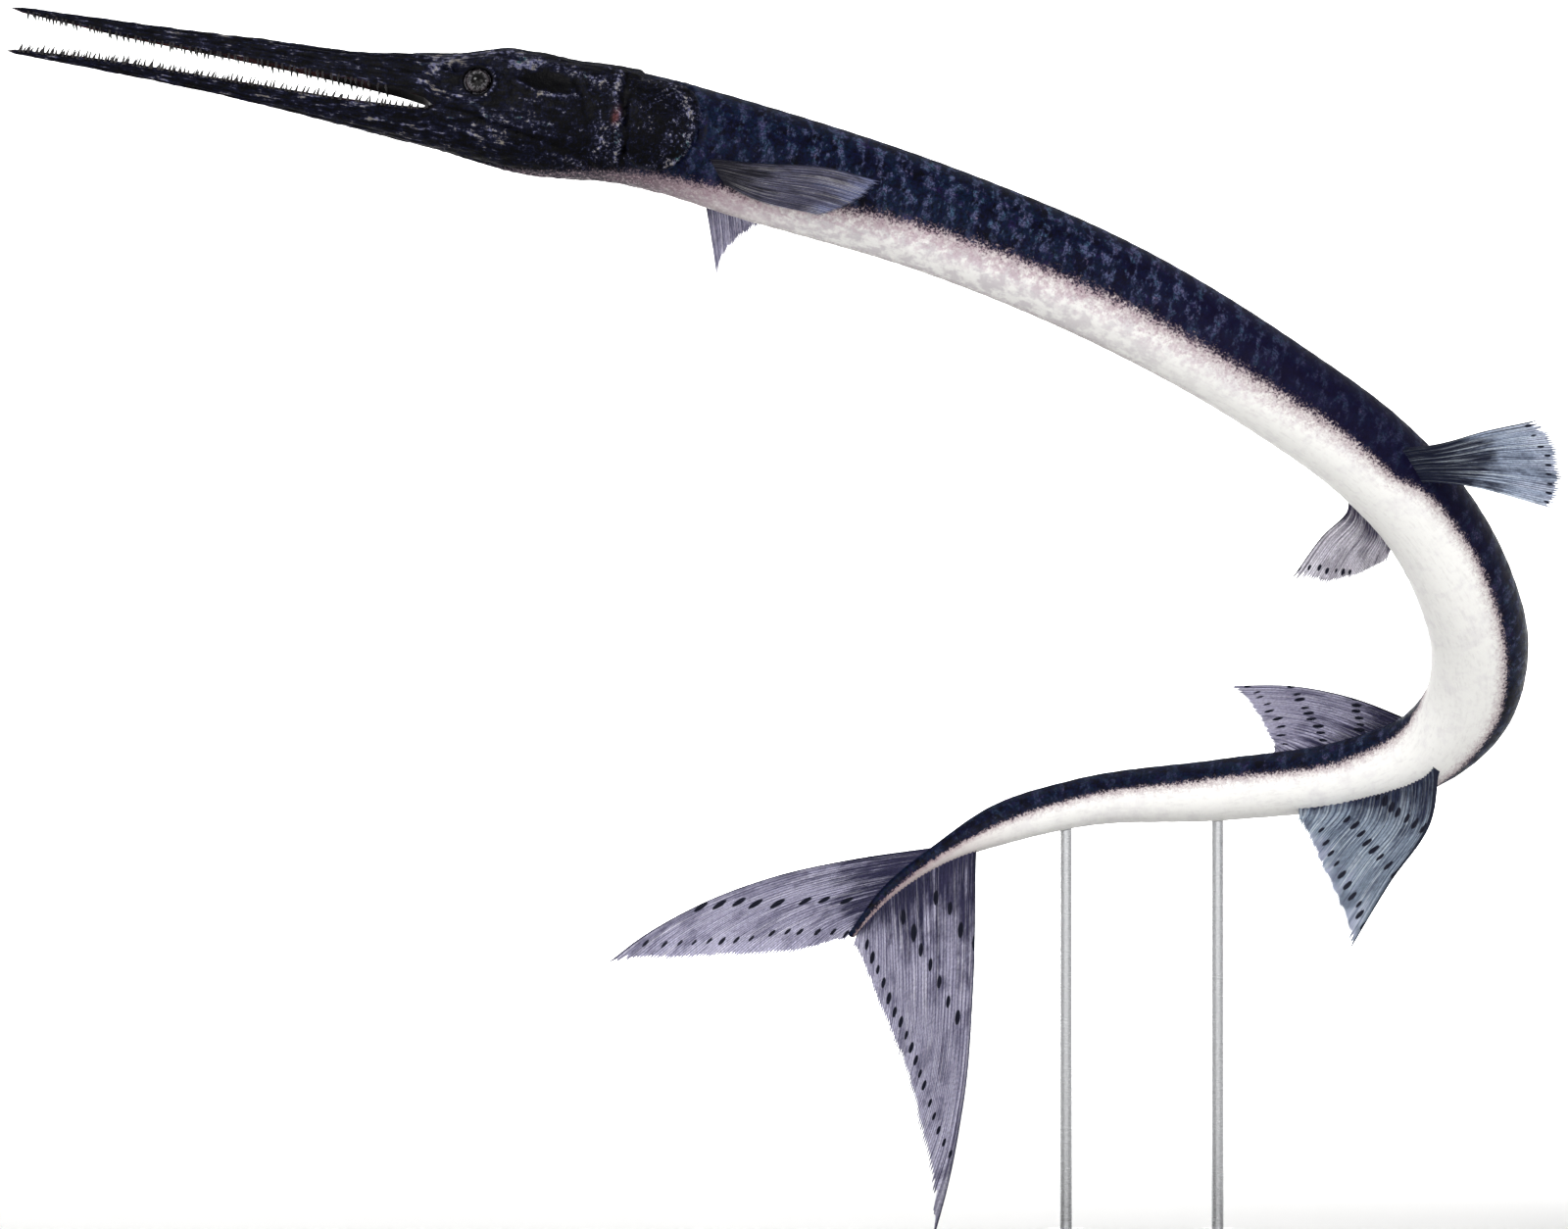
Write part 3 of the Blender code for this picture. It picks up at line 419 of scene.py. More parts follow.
head = {
    "skullStep": 1.2,  # how far the skull's edge stands over the neck (mm)
    "eye": {
        "x": -230, "angle": 68, "tilt": 6, "radius": 6.0, "sunk": 3.8, "socket": 5.5, "socketDepth": 1.7,
        "rim": 1.0, "rimAt": 1.1, "rimWidth": 0.95,  # bony rim: height, way from the socket, width (mm)
        "reach": (11, 9, 14),  # of the socket's shape across, inwards and along the head (mm)
        "gather": 0.72, "gatherWidth": 1.2,  # how strongly points gather at its edge, over what width (mm)
        "darkTo": 8.0, "darkFade": 1.6,  # dark skin round the eye (mm)
        "paleAt": 6.9, "paleWidth": 0.5, "pale": 0.6, "paleRear": 1.1,  # pale ring, thicker at the rear (mm)
    },
    "nostrils": {"x": (-240, -243.5), "angle": 52, "radius": 1.1, "depth": 1.3, "rim": 0.35, "rimAt": 1.9},
    "gillCover": {
        "x": -155.5, "half": 14.4, "angle": 82, "halfAngle": 56, "rise": 1.9, "dome": 0.55, "edge": 0.07,
        "growthLines": 8, "growthRise": 0.12, "growthPale": 0.3,
        "slit": 1.1, "slitAt": 1.06, "slitWidth": 0.05,  # depth (mm); place and width in shares of the plate
    },
    # lines on the head, as distance from the snout (mm) and degrees from the back. rise and width in mm.
    # pale: how thickly the granules stand on it. Below nought, in the grooves, it is painted shade along the
    # groove's dip
    "lines": {
        "brow": {"line": [(164, 54), (170, 47), (178, 40), (187, 38), (197, 48)], "rise": 1.2, "width": 1.6,
                 "pale": 0.2},
        "crown": {"line": [(166, 44), (175, 30), (184, 24), (194, 24), (203, 36)], "rise": 0.3, "width": 3.2,
                  "pale": 0.65},
        "snoutPatch": {"line": [(164, 62), (170, 56)], "rise": 0.4, "width": 1.7, "pale": 0.2},
        "cheekSeam": {"line": [(160, 80), (168, 83), (176, 87), (184, 91), (188, 102), (190, 107),
                               (196, 105)], "rise": 0.8, "width": 0.9, "pale": 0.6},
        "behindEye": {"line": [(199, 65), (203, 71), (207, 74), (213, 76.5), (219, 75.5), (224, 73)],
                      "rise": 0.9, "width": 0.75, "pale": 1.1},
        "temple": {"line": [(199, 46), (203, 48), (211, 38), (223, 50), (231, 52)], "rise": 0.35,
                   "width": 2.2, "pale": 0.7},
        "jawStreakA": {"line": [(181, 116), (188, 116), (197, 115)], "rise": 0.3, "width": 0.55, "pale": 0.6},
        "jawStreakB": {"line": [(183, 127), (191, 131), (196, 130)], "rise": 0.3, "width": 0.55, "pale": 0.6},
        "jawStreakC": {"line": [(204, 121), (213, 122)], "rise": 0.3, "width": 0.55, "pale": 0.55},
        "jawStreakD": {"line": [(172, 122), (186, 122), (200, 128)], "rise": 0.3, "width": 0.7, "pale": 0.6},
        "jawStreakE": {"line": [(150, 128), (168, 133), (178, 138)], "rise": 0.3, "width": 0.7, "pale": 0.6},
        "jawStreakF": {"line": [(190, 110), (202, 108), (212, 106)], "rise": 0.3, "width": 0.7, "pale": 0.55},
        "jawStreakG": {"line": [(168, 105), (180, 99), (192, 97), (206, 94)], "rise": 0.3, "width": 0.5,
                       "pale": 0.5},
        "jawStreakH": {"line": [(174, 112), (188, 105), (203, 102), (217, 104)], "rise": 0.3, "width": 0.5,
                       "pale": 0.48},
        "jawStreakI": {"line": [(206, 113), (218, 112), (228, 117)], "rise": 0.3, "width": 0.5, "pale": 0.48},
        "jawStreakJ": {"line": [(201, 83), (211, 87), (222, 91)], "rise": 0.3, "width": 0.6, "pale": 0.42},
        "cheekStreak": {"line": [(214, 132), (224, 140), (232, 146)], "rise": 0.2, "width": 1.0, "pale": 0.5},
        "preopercle": {"line": [(238, 34), (238.5, 50), (237.5, 63), (239.5, 81), (241.5, 100), (242.5, 116),
                                (241.5, 136)], "rise": 1.2, "width": 1.2, "pale": 0.7},
        "preopercleGroove": {"line": [(241, 34), (241.3, 50), (240.6, 63), (242.4, 81), (244.3, 100),
                                      (245.3, 116), (244.5, 136)], "rise": -0.8, "width": 0.7, "pale": -0.5},
        "cheekGroove": {"line": [(222, 56), (226, 74), (229, 92), (230, 112), (229, 130)], "rise": -0.6,
                        "width": 1.1, "pale": -0.3},
        "jawGroove": {"line": [(166, 103), (172, 102), (180, 104), (199, 115), (214, 123), (227, 132),
                               (234, 148), (236, 162)], "rise": -1.0, "width": 0.9, "pale": -0.4},
        "throatGroove": {"line": [(150, 180), (222, 180)], "rise": -0.7, "width": 0.9, "pale": 0.0},
        "coverStreak": {"line": [(257, 38), (262, 51), (266, 68), (268.5, 91), (269, 106), (265.5, 122)],
                        "rise": 0.2, "width": 1.1, "pale": 0.7},
        "shoulder": {"line": [(263, 28), (269, 44), (273.5, 62), (276, 88), (276, 110), (272, 132)],
                     "rise": 0.7, "width": 1.6, "pale": 0.25},
    },
    # patches: centre distance and degrees, half length and half height (mm), rise (mm), pale
    "patches": {
        # the hollow behind the eye: its pale below nought and its hollow mark are painted shade in the dip
        "hollow": {"at": (210, 60), "half": (11, 4.4), "rise": -1.8, "pale": -1.0},
        "skullRoof": {"at": (193, 0), "half": (11, 16), "rise": 1.5, "pale": 0.0},
        "nape": {"at": (222, 0), "half": (12, 17), "rise": -1.2, "pale": 0.0},
        "snoutDip": {"at": (132, 0), "half": (28, 9), "rise": -1.5, "pale": 0.0},
        "cheekSpeckles": {"at": (234, 107), "half": (6.5, 9), "rise": 0.0, "pale": 0.55},
        "cheekBone": {"at": (212, 96), "half": (13, 10), "rise": 0.5, "pale": 0.0},
    },
    "blush": {"at": (239.5, 87), "half": (1.1, 2.6)},
    "sculpture": {"rise": 0.26, "along": 4.5, "around": 1.5, "seeds": (3, 4)},  # uneven bone surface (mm)
    "reliefEnd": (272, 6), "boneEnd": (254, 8),  # where relief and bare bone end, and over how far (mm)
    # furrows along the jaws: degrees from the back, depth (mm), how far they wander (degrees)
    "furrows": {"angles": (38, 62, 84, 118, 138, 160), "depth": 0.35, "wander": 4, "pale": 0.45,
                "seeds": (11, 17)},
    "skullRoof": (66, 22),  # the roof's edge and its softness, degrees from the back
}
# muscle segments that show faintly on the body: relief (mm) and lean
segments = {"rise": 0.07, "lean": 0.28}
# painted shade under the belly, a grey wash along the keel: degrees from the back, distance where it ends
# (mm), how softly
keel = {"angle": 160, "angleFade": 16, "end": 540, "endFade": 90}

# Where the dark back ends: row of the course, degrees from the back. The edge is sharper where the body is
# thinner than a girth (mm), and from a distance (mm) on
darkEdge = {
    "girth": 16, "sharpest": 2.6, "sharperFrom": 530, "sharperFade": 60, "sharper": 0.5,
    "left": [(0, 200), (2.4, 188), (3, 165), (3.6, 153), (4, 146), (4.4, 138), (4.8, 131), (5, 128),
             (5.39, 117), (5.67, 110), (6, 106), (7, 101), (8.5, 103), (8.85, 108), (9.15, 109), (9.5, 101),
             (9.8, 99), (10.6, 101), (11.6, 112), (12, 115), (12.6, 123), (13, 131), (13.5, 142), (13.9, 147),
             (14.2, 138), (15, 106), (16, 92), (17, 95), (18, 100), (19.4, 106), (21, 124)],
    "right": [(0, 200), (2.4, 188), (3, 165), (3.6, 153), (4, 146), (4.4, 138), (4.8, 131), (5, 128),
              (5.39, 112), (5.67, 104), (6, 104), (7, 103), (8.8, 103), (9.8, 99), (10.6, 101), (14, 97),
              (15, 99), (16, 89), (17, 94), (18, 100), (19.4, 106), (21, 124)],
}


def distanceAtX(x):
    # distance from the snout of the axis's point that is seen at x, along the front of the body
    return float(np.interp(x, course[:13, 0], lengths[:13]))


def ringPlaces():
    # the rings' distances from the snout tip: on the jaws, and from the mouth's corner to the tail's end
    stops, places = [], [0.0]
    for stop, step in body["rings"]:
        stops.append(min(stop * mm, lengths[-1]))
        count = max(1, round((stops[-1] - places[-1]) / (step * mm)))
        places.extend(np.linspace(places[-1], stops[-1], count + 1)[1:])
    places, clear = np.array(places), 0.35 * mm  # no ring stands closer than this to the corner's own one
    return np.append(places[places < cornerAt - clear], cornerAt), places[places > cornerAt + clear]


def lineGap(along, around, line):
    # mm from each point of the skin to a line drawn on it
    knots = np.array([(s, math.radians(a) * girthAt(s * mm) / mm) for s, a in line])
    gap = np.full(along.shape, 1e3)
    for (s0, a0), (s1, a1) in zip(knots, knots[1:]):
        share = ((along - s0) * (s1 - s0) + (around - a0) * (a1 - a0)) / ((s1 - s0) ** 2 + (a1 - a0) ** 2)
        share = np.clip(share, 0, 1)
        gap = np.minimum(gap, np.hypot(along - s0 - share * (s1 - s0), around - a0 - share * (a1 - a0)))
    return gap


def dress(points, at, angle, onMouth=None):
    # relief and marks at points of the skin, from their distance and their angle from the back
    along, girth = at / mm, girthAt(at) / mm
    side = (angle + math.pi) % (2 * math.pi) - math.pi  # -pi to pi, left positive
    around = np.abs(side) * girth
    rise, pale = np.zeros(along.shape), np.zeros(along.shape)
    onHead = smoothStep((head["reliefEnd"][0] - along) / head["reliefEnd"][1])
    for form in head["lines"].values():
        near = np.exp(-((lineGap(along, around, form["line"]) / form["width"]) ** 2))
        rise += form["rise"] * near
        pale += form["pale"] * np.sqrt(near)
    hollow = np.zeros(along.shape)
    for name, form in head["patches"].items():
        middle, angleAt = form["at"]
        half = form["half"]
        reach = np.hypot((along - middle) / half[0],
                         (around - math.radians(angleAt) * girthAt(middle * mm) / mm) / half[1])
        near = np.exp(-(reach**2) * 1.4)
        rise += form["rise"] * near
        pale += form["pale"] * near
        if name == "hollow":
            hollow = near
    (middle, angleAt), half = head["blush"]["at"], head["blush"]["half"]
    height = math.radians(angleAt) * girthAt(middle * mm) / mm
    blush = np.exp(-((along - middle) / half[0]) ** 2 - ((around - height) / half[1]) ** 2)

    # gill cover: a plate with a steep rear edge, growth lines and a slit behind it
    cover = head["gillCover"]
    x = (along - distanceAtX(cover["x"]) / mm) / cover["half"]
    y = (np.degrees(np.abs(side)) - cover["angle"]) / cover["halfAngle"]
    squared = np.where(x < 0, np.abs(x) ** 3.3, x**2)
    share = (squared + y**2) ** np.where(x < 0, 0.4, 0.5)
    plate = smoothStep((1.0 - share) / cover["edge"])
    rise += cover["rise"] * (1 - cover["dome"] * np.clip(share, 0, 1) ** 4) * plate
    growth = np.sin(2 * math.pi * cover["growthLines"] * share)
    rise += cover["growthRise"] * growth * plate
    behind = smoothStep((x + 0.2) / 0.4)
    rise -= cover["slit"] * np.exp(-(((share - cover["slitAt"]) / cover["slitWidth"]) ** 2)) * behind
    pale += cover["growthPale"] * plate * smoothStep(growth) * smoothStep(0.5 + x)

    # skull: its roof stands over the neck
    skull = np.clip((along - cornerAt / mm) / ((headEndAt - cornerAt) / mm), 0, 1)
    step = head["skullStep"] * skull**3 * smoothStep((headEndAt / mm + 0.6 - along) / 1.6)
    roofEdge, roofFade = np.radians(head["skullRoof"])
    roof = smoothStep((roofEdge - np.abs(side)) / roofFade)
    rise += step * roof

    # uneven bone, and long furrows on the jaws
    form, turn = head["sculpture"], np.degrees(side) * girth / 57.3
    uneven = lumps(along / form["along"], turn / form["around"] + 90, form["seeds"][0])
    uneven += 0.6 * lumps(along / 1.8, turn / 1.1 + 90, form["seeds"][1])
    rise += form["rise"] * uneven * onHead
    form, furrows = head["furrows"], 0.0
    onJaw = smoothStep((cornerAt / mm + 8 - along) / 20)
    for k, middle in enumerate(form["angles"]):
        wander = form["wander"] * lumps(along / 14, np.full(along.shape, 3.5 * k), form["seeds"][0])
        gap = (np.degrees(np.abs(side)) - middle - wander) * girth / 57.3
        furrows = furrows + np.exp(-((gap / (0.05 * girth + 0.25)) ** 2))
    rise -= form["depth"] * np.clip(girth / 9, 0.25, 1) * furrows * onJaw
    flecks = smoothStep(4 * lumps(along / 9, around / 1.2, form["seeds"][1]))
    pale += form["pale"] * onJaw * (1 - np.clip(furrows, 0, 1)) * flecks

    # muscle segments show faintly along the body
    chevron = along + segments["lean"] * np.abs(around - 0.55 * math.pi * girth)
    wave = np.sin(2 * math.pi * chevron / skinLooks["barPeriod"])
    rise += segments["rise"] * wave * (1 - onHead) * np.clip(girth / 15, 0, 1)

    # the rise dies away on the thin snout
    rise *= np.clip(girth / 8, 0.35, 1)
    if onMouth is not None:
        rise *= 1 - onMouth
        pale *= 1 - onMouth

    # the eye's socket and the nostrils are round their own axes
    moved = points.copy()
    form, middle = head["eye"], distanceAtX(head["eye"]["x"])
    for flank in (1, -1):
        way = outward(middle, flank * math.radians(form["angle"] + form["tilt"]))
        place = onSkin(middle, flank * math.radians(form["angle"]))
        offset = (points - place) / mm
        depth = (offset * way).sum(-1)
        flat = offset - depth[..., None] * way
        radius = np.linalg.norm(flat, axis=-1)
        reach, inward, lengthwise = form["reach"]
        close = (radius < reach) & (depth > -inward) & (np.abs(along - middle / mm) < lengthwise)
        gather = 1 - form["gather"] * np.exp(-(((radius - form["socket"]) / form["gatherWidth"]) ** 2))
        pulled = form["socket"] + (radius - form["socket"]) * gather
        shift = np.where(close, (pulled - radius) / np.maximum(radius, 0.3), 0)
        moved += shift[..., None] * flat * mm
        sink = form["socketDepth"] * smoothStep((form["socket"] + 0.25 - radius) / 0.9)
        ring = form["rim"] * np.exp(-(((radius - form["socket"] - form["rimAt"]) / form["rimWidth"]) ** 2))
        rise = np.where(close, rise * smoothStep((radius - 6.5) / 2.5) + ring - sink, rise)
        dark = np.where(close, smoothStep((form["darkTo"] - radius) / form["darkFade"]), 0)
        hollow = np.maximum(hollow, dark)
        rear = smoothStep((flat @ frameAt(middle)[1] - 1.0) / 3.0)
        near = np.exp(-(((radius - form["paleAt"]) / form["paleWidth"]) ** 2))
        pale += np.where(close, (form["pale"] + form["paleRear"] * rear) * near, 0)
    form = head["nostrils"]
    for x in form["x"]:
        for flank in (1, -1):
            place = onSkin(distanceAtX(x), flank * math.radians(form["angle"]))
            radius = np.linalg.norm(points - place, axis=-1) / mm
            rise -= form["depth"] * np.exp(-((radius / form["radius"]) ** 2))
            rise += form["rim"] * np.exp(-(((radius - form["rimAt"]) / 0.5) ** 2))
            # painted shade in the nostril pits: the hollow mark thins the pale granules there
            hollow = np.maximum(hollow, np.exp(-((radius / form["radius"]) ** 2)))

    moved += rise[..., None] * mm * outward(at, angle)

    rows = np.interp(at, lengths, np.arange(len(lengths)))
    edges = [np.interp(rows, *zip(*darkEdge[flank])) for flank in ("left", "right")]
    edge = np.where(side >= 0, *edges)
    sharp = np.clip(darkEdge["girth"] / girth, 1, darkEdge["sharpest"])
    sharp *= 1 + darkEdge["sharper"] * smoothStep((along - darkEdge["sharperFrom"]) / darkEdge["sharperFade"])
    # painted shade along the keel, low on the belly
    under = smoothStep((np.degrees(np.abs(side)) - keel["angle"]) / keel["angleFade"])
    high, wide, _ = np.moveaxis(smoothCurve(lengths, sizes, at), -1, 0)
    return moved, {
        "flow": np.stack([along, wide / mm * np.sin(side), high / mm * np.cos(side)], axis=-1),
        "shadeEdge": np.radians(edge - np.degrees(np.abs(side))) * girth * sharp,
        "headMask": np.maximum(smoothStep((head["boneEnd"][0] - along) / head["boneEnd"][1]), plate),
        "pale": pale,
        "blush": np.clip(blush, 0, 1) * 0.8,
        "mouth": np.zeros(along.shape) if onMouth is None else onMouth,
        "hollow": np.clip(hollow, 0, 1),
        "distance": along,
        "height": around,
        "keel": under * smoothStep((keel["end"] - along) / keel["endFade"]),
    }


def jawPoints(at, over):
    # rings of one jaw: the outer arc, then the mouth's side from one edge to the other
    centre, _, back, left, high, wide = frameAt(at)
    palate, floor = gapeAt(at)
    if over:
        angle = np.linspace(-mouthAngle, mouthAngle, body["overSteps"] + 1)
        share = (np.cos(angle) - mouthEdge) / (1 - mouthEdge)
        up = palate[:, None] + (high - palate)[:, None] * share
    else:
        angle = np.linspace(mouthAngle, 2 * math.pi - mouthAngle, body["underSteps"] + 1)
        share = (np.cos(angle) - mouthEdge) / (1 + mouthEdge)
        up = floor[:, None] + (high + floor)[:, None] * share
    side = wide[:, None] * np.sin(angle)
    half = wide * math.sin(mouthAngle)
    across = 1 - 2 * np.arange(1, body["mouthSteps"] + 1) / (body["mouthSteps"] + 1)
    gape = np.clip((palate - floor) / (jaws["archedFrom"] * mm), 0, 1)
    arch = jaws["arch"] * (half * gape)[:, None] * (1 - across**2)
    inner = palate[:, None] + arch if over else floor[:, None] - arch
    innerSide = half[:, None] * across * (1 if over else -1)
    up, side = np.concatenate([up, inner], axis=1), np.concatenate([side, innerSide], axis=1)
    points = centre[:, None] + up[..., None] * back[:, None] + side[..., None] * left[:, None]
    innerAngle = mouthAngle * np.sign(across) * (1 if over else -1)
    angles = np.concatenate([angle, innerAngle]) * np.ones((len(at), 1))
    count = len(angle)
    onMouth = np.zeros(angles.shape)
    onMouth[:, count:] = 1.0
    for k, amount in enumerate((jaws["lip"], jaws["lip"] / 3)):
        onMouth[:, k] = onMouth[:, count - 1 - k] = amount
    return points, at[:, None] * np.ones(angles.shape), angles, onMouth


def quads(grid):
    # faces between the rings of a grid of point numbers, closed round
    a, b = grid[:-1], grid[1:]
    return np.stack([a, np.roll(a, 1, axis=1), np.roll(b, 1, axis=1), b], axis=-1).reshape(-1, 4)


def makeSkin(material):
    jawPlaces, bodyPlaces = ringPlaces()
    over = np.linspace(-mouthAngle, mouthAngle, body["overSteps"] + 1)
    under = np.linspace(mouthAngle, 2 * math.pi - mouthAngle, body["underSteps"] + 1)
    angle = np.concatenate([over, under[1:-1]])
    at = bodyPlaces[:, None] * np.ones(len(angle))
    angles = angle * np.ones((len(bodyPlaces), 1))
    blocks = [(onSkin(at, angles), at, angles, None)]
    blocks.append(jawPoints(jawPlaces, True))
    blocks.append(jawPoints(jawPlaces, False))
    points, marks, starts = [], [], []
    for block in blocks:
        dressed, found = dress(*block)
        starts.append(sum(len(p) for p in points))
        points.append(dressed.reshape(-1, 3))
        marks.append({name: v.reshape(-1, 3) if v.ndim == 3 else v.ravel() for name, v in found.items()})
    countOver, countUnder, line = len(over), len(under), body["mouthSteps"]
    upper = starts[1] + np.arange(len(jawPlaces) * (countOver + line)).reshape(len(jawPlaces), -1)
    lower = starts[2] + np.arange(len(jawPlaces) * (countUnder + line)).reshape(len(jawPlaces), -1)
    # the jaws share the corner's ring: the lower takes the upper one's points for its edges and mouth side
    lower[-1, 0], lower[-1, countUnder - 1] = upper[-1, countOver - 1], upper[-1, 0]
    lower[-1, countUnder:] = upper[-1, countOver:][::-1]
    rings = np.arange(len(angle) * len(bodyPlaces)).reshape(len(bodyPlaces), -1)
    corner = np.concatenate([upper[-1, :countOver], lower[-1, 1:countUnder - 1]])
    faces = [quads(np.vstack([corner, rings])), quads(upper[::-1]), quads(lower[::-1])]
    points = np.concatenate(points)
    marks = {name: np.concatenate([m[name] for m in marks]) for name in marks[0]}
    ahead = -frameAt(0.0)[1]
    tips = [(upper[0], jaws["tips"][0] * mm * ahead), (lower[0], jaws["tips"][1] * mm * ahead)]
    tips.append((rings[-1], body["tailTip"] * mm * frameAt(lengths[-1])[1]))
    for ring, reach in tips:
        tip = len(points)
        points = np.vstack([points, points[ring].mean(axis=0) + reach])
        marks = {name: np.concatenate([v, v[ring[:1]]]) for name, v in marks.items()}
        faces.append(np.stack([ring, np.roll(ring, 1), np.full(len(ring), tip)], axis=-1))
    # the lower jaw's own points at the shared ring are left out
    used = np.zeros(len(points), bool)
    for block in faces:
        used[block.ravel()] = True
    number = np.cumsum(used) - 1
    faces = [number[block] for block in faces]
    marks = {name: v[used] for name, v in marks.items()}
    replaced = ["head", "lower_jaw", "operculum_left", "operculum_right", "torso_front", "torso_rear",
                "tail_bend", "tail_arm", "tail_stem"]
    return newPiece("skin", points[used], faces, material, replaced, marks, crease=62)


print("skin")
makeSkin(wetFishSkin())


# Tooth enamel: hard, glassy and slightly see-through over darker dentine, so the tips look almost black.
teeth = {
    "upper": {"count": 54, "from": 2.5, "to": 147, "length": (1.5, 2.9)},  # a side; mm from the snout; mm
    "lower": {"count": 78, "from": 2.0, "to": 166, "length": (2.0, 3.9)},
    "radius": (0.52, 0.74), "sunk": 0.9, "inset": 0.2, "splay": (0.0, 0.22),
    "lean": (-0.16, 0.26), "sides": 8, "levels": (0.0, 0.3, 0.62, 0.86), "curve": 0.2, "seed": 21,
    "gapeShare": 0.36, "least": 0.5, "taper": 0.75,  # longest in shares of the gape, and what is added (mm)
    "shades": [(0.15, "#1b1517"), (0.55, "#19161a"), (0.95, "#101014")],  # from the root to the tip
    "stain": 1.1111, "roughness": 0.3, "ior": 1.62, "gloss": 0.2,  # stain: size in mm
}


def toothEnamel():
    material, tree, shader = newMaterial("tooth_enamel")
    up = addNode(tree, "ShaderNodeAttribute", {"attribute_name": "toTip"})
    place = addNode(tree, "ShaderNodeTexCoord")
    stain = addNode(tree, "ShaderNodeTexNoise", {}, Vector=place.outputs["Object"],
                    Scale=1 / (teeth["stain"] * mm), Detail=3.0)
    mixed = addNode(tree, "ShaderNodeMath", timesAdd, in0=stain, in1=0.3, in2=up.outputs["Fac"])
    shade = addNode(tree, "ShaderNodeValToRGB", {"stops": teeth["shades"]}, Fac=mixed)
    tree.links.new(shade.outputs[0], shader.inputs["Base Color"])
    shader.inputs["Roughness"].default_value = teeth["roughness"]
    shader.inputs["IOR"].default_value = teeth["ior"]
    shader.inputs["Specular IOR Level"].default_value = teeth["gloss"]
    return material


def makeTeeth(jaw, material):
    form, draw = teeth[jaw], np.random.default_rng(teeth["seed"] + len(jaw) + (jaw == "upper"))
    points, faces, toTip = [], [], []
    turn = np.linspace(0, 2 * math.pi, teeth["sides"], endpoint=False)
    for flank in (1, -1):
        spread = np.linspace(form["from"], form["to"], form["count"])
        spread = spread + draw.uniform(-0.9, 0.9, form["count"])
        for at in spread * mm:
            centre, tail, back, left, _, wide = frameAt(at)
            palate, floor = gapeAt(at)
            out = flank * left
            up = -back if jaw == "upper" else back
            edge = centre + (palate if jaw == "upper" else floor) * back + wide * math.sin(mouthAngle) * out
            length = draw.uniform(*form["length"]) * mm
            length = min(length, teeth["gapeShare"] * (palate - floor) + teeth["least"] * mm)
            radius = draw.uniform(*teeth["radius"]) * mm * min(1, 0.45 + length / (3.5 * mm))
            way = unit(up + draw.uniform(*teeth["splay"]) * out + draw.uniform(*teeth["lean"]) * tail)
            root = edge - teeth["inset"] * mm * out - teeth["sunk"] * mm * way
            sideways = unit(np.cross(way, tail))
            along = np.cross(sideways, way)
            start = len(points)
            whole = length + teeth["sunk"] * mm
            for level in teeth["levels"]:
                middle = root + level * whole * way + teeth["curve"] * level**2 * length * tail
                girth = radius * (1 - level) ** teeth["taper"]
                for t in turn:
                    points.append(middle + girth * (math.cos(t) * sideways + math.sin(t) * along))
                    toTip.append(level)
            points.append(root + whole * way + teeth["curve"] * length * tail)
            toTip.append(1.0)
            ring = np.arange(teeth["sides"])
            for k in range(len(teeth["levels"]) - 1):
                low, top = start + k * teeth["sides"] + ring, start + (k + 1) * teeth["sides"] + ring
                faces.append(np.stack([low, np.roll(low, -1), np.roll(top, -1), top], axis=-1))
            last = start + (len(teeth["levels"]) - 1) * teeth["sides"] + ring
            faces.append(np.stack([last, np.roll(last, -1), np.full(len(ring), len(points) - 1)], axis=-1))
            faces.append((start + ring[::-1])[None, :])
    return newPiece("teeth_" + jaw, np.array(points), faces, material, marks={"toTip": toTip}, crease=80)


print("teeth")
enamel = toothEnamel()
for jaw in ("upper", "lower"):
    makeTeeth(jaw, enamel)


# Eye: a wet cornea over a mottled iris, as glossy as glass because a film of water covers it.
eyeLooks = {
    "pupil": "#020203", "iris": "#6b6a6e", "irisDark": "#100f12", "irisWarm": "#494247", "ring": "#77757c",
    "outside": "#060608", "pupilRadius": 2.3, "irisRadius": 4.9, "ringRadius": 5.3,  # mm from the eye's axis
    "roughness": 0.08, "ior": 1.376, "gloss": 0.35, "bulge": 0.5,  # the cornea stands out over the pupil (mm)
    "ringSpan": 6.0, "ragged": 0.9,  # reach of the rings' colours and of their uneven edges (mm)
    "flecks": (0.42, 0.6, 0.06, 1.1),  # fibres from and to, and the shade's strength there
}


def wetCornea():
    material, tree, shader = newMaterial("wet_cornea")
    looks, reach = eyeLooks, eyeLooks["ringSpan"]
    gap = addNode(tree, "ShaderNodeAttribute", {"attribute_name": "fromAxis"}).outputs["Fac"]
    around = addNode(tree, "ShaderNodeAttribute", {"attribute_name": "spoke"}).outputs["Vector"]
    fibres = addNode(tree, "ShaderNodeTexNoise", {}, Vector=around, Scale=1.7, Detail=4.0, Roughness=0.7)
    ragged = addNode(tree, "ShaderNodeMath", timesAdd, in0=fibres, in1=looks["ragged"], in2=gap)
    ragged = addNode(tree, "ShaderNodeMath", {"operation": "DIVIDE"}, in0=ragged,
                     in1=reach + looks["ragged"] / 2)
    pupil, iris, ring = [looks[name] / reach for name in ("pupilRadius", "irisRadius", "ringRadius")]
    rings = addNode(tree, "ShaderNodeValToRGB", {"stops": [
        (pupil - 0.03, looks["pupil"]), (pupil + 0.04, looks["irisDark"]), (0.56, looks["iris"]),
        (0.74, looks["irisWarm"]), (iris, looks["irisDark"]), (ring, looks["ring"]),
        (0.97, looks["outside"])]}, Fac=ragged)
    start, stop, low, high = looks["flecks"]
    flecks = addNode(tree, "ShaderNodeMapRange", soft, Value=fibres, in1=start, in2=stop, in3=low, in4=high)
    speckled = addNode(tree, "ShaderNodeVectorMath", {"operation": "SCALE"}, in0=rings, Scale=flecks)
    tree.links.new(speckled.outputs[0], shader.inputs["Base Color"])
    shader.inputs["Roughness"].default_value = looks["roughness"]
    shader.inputs["IOR"].default_value = looks["ior"]
    shader.inputs["Specular IOR Level"].default_value = looks["gloss"]
    return material


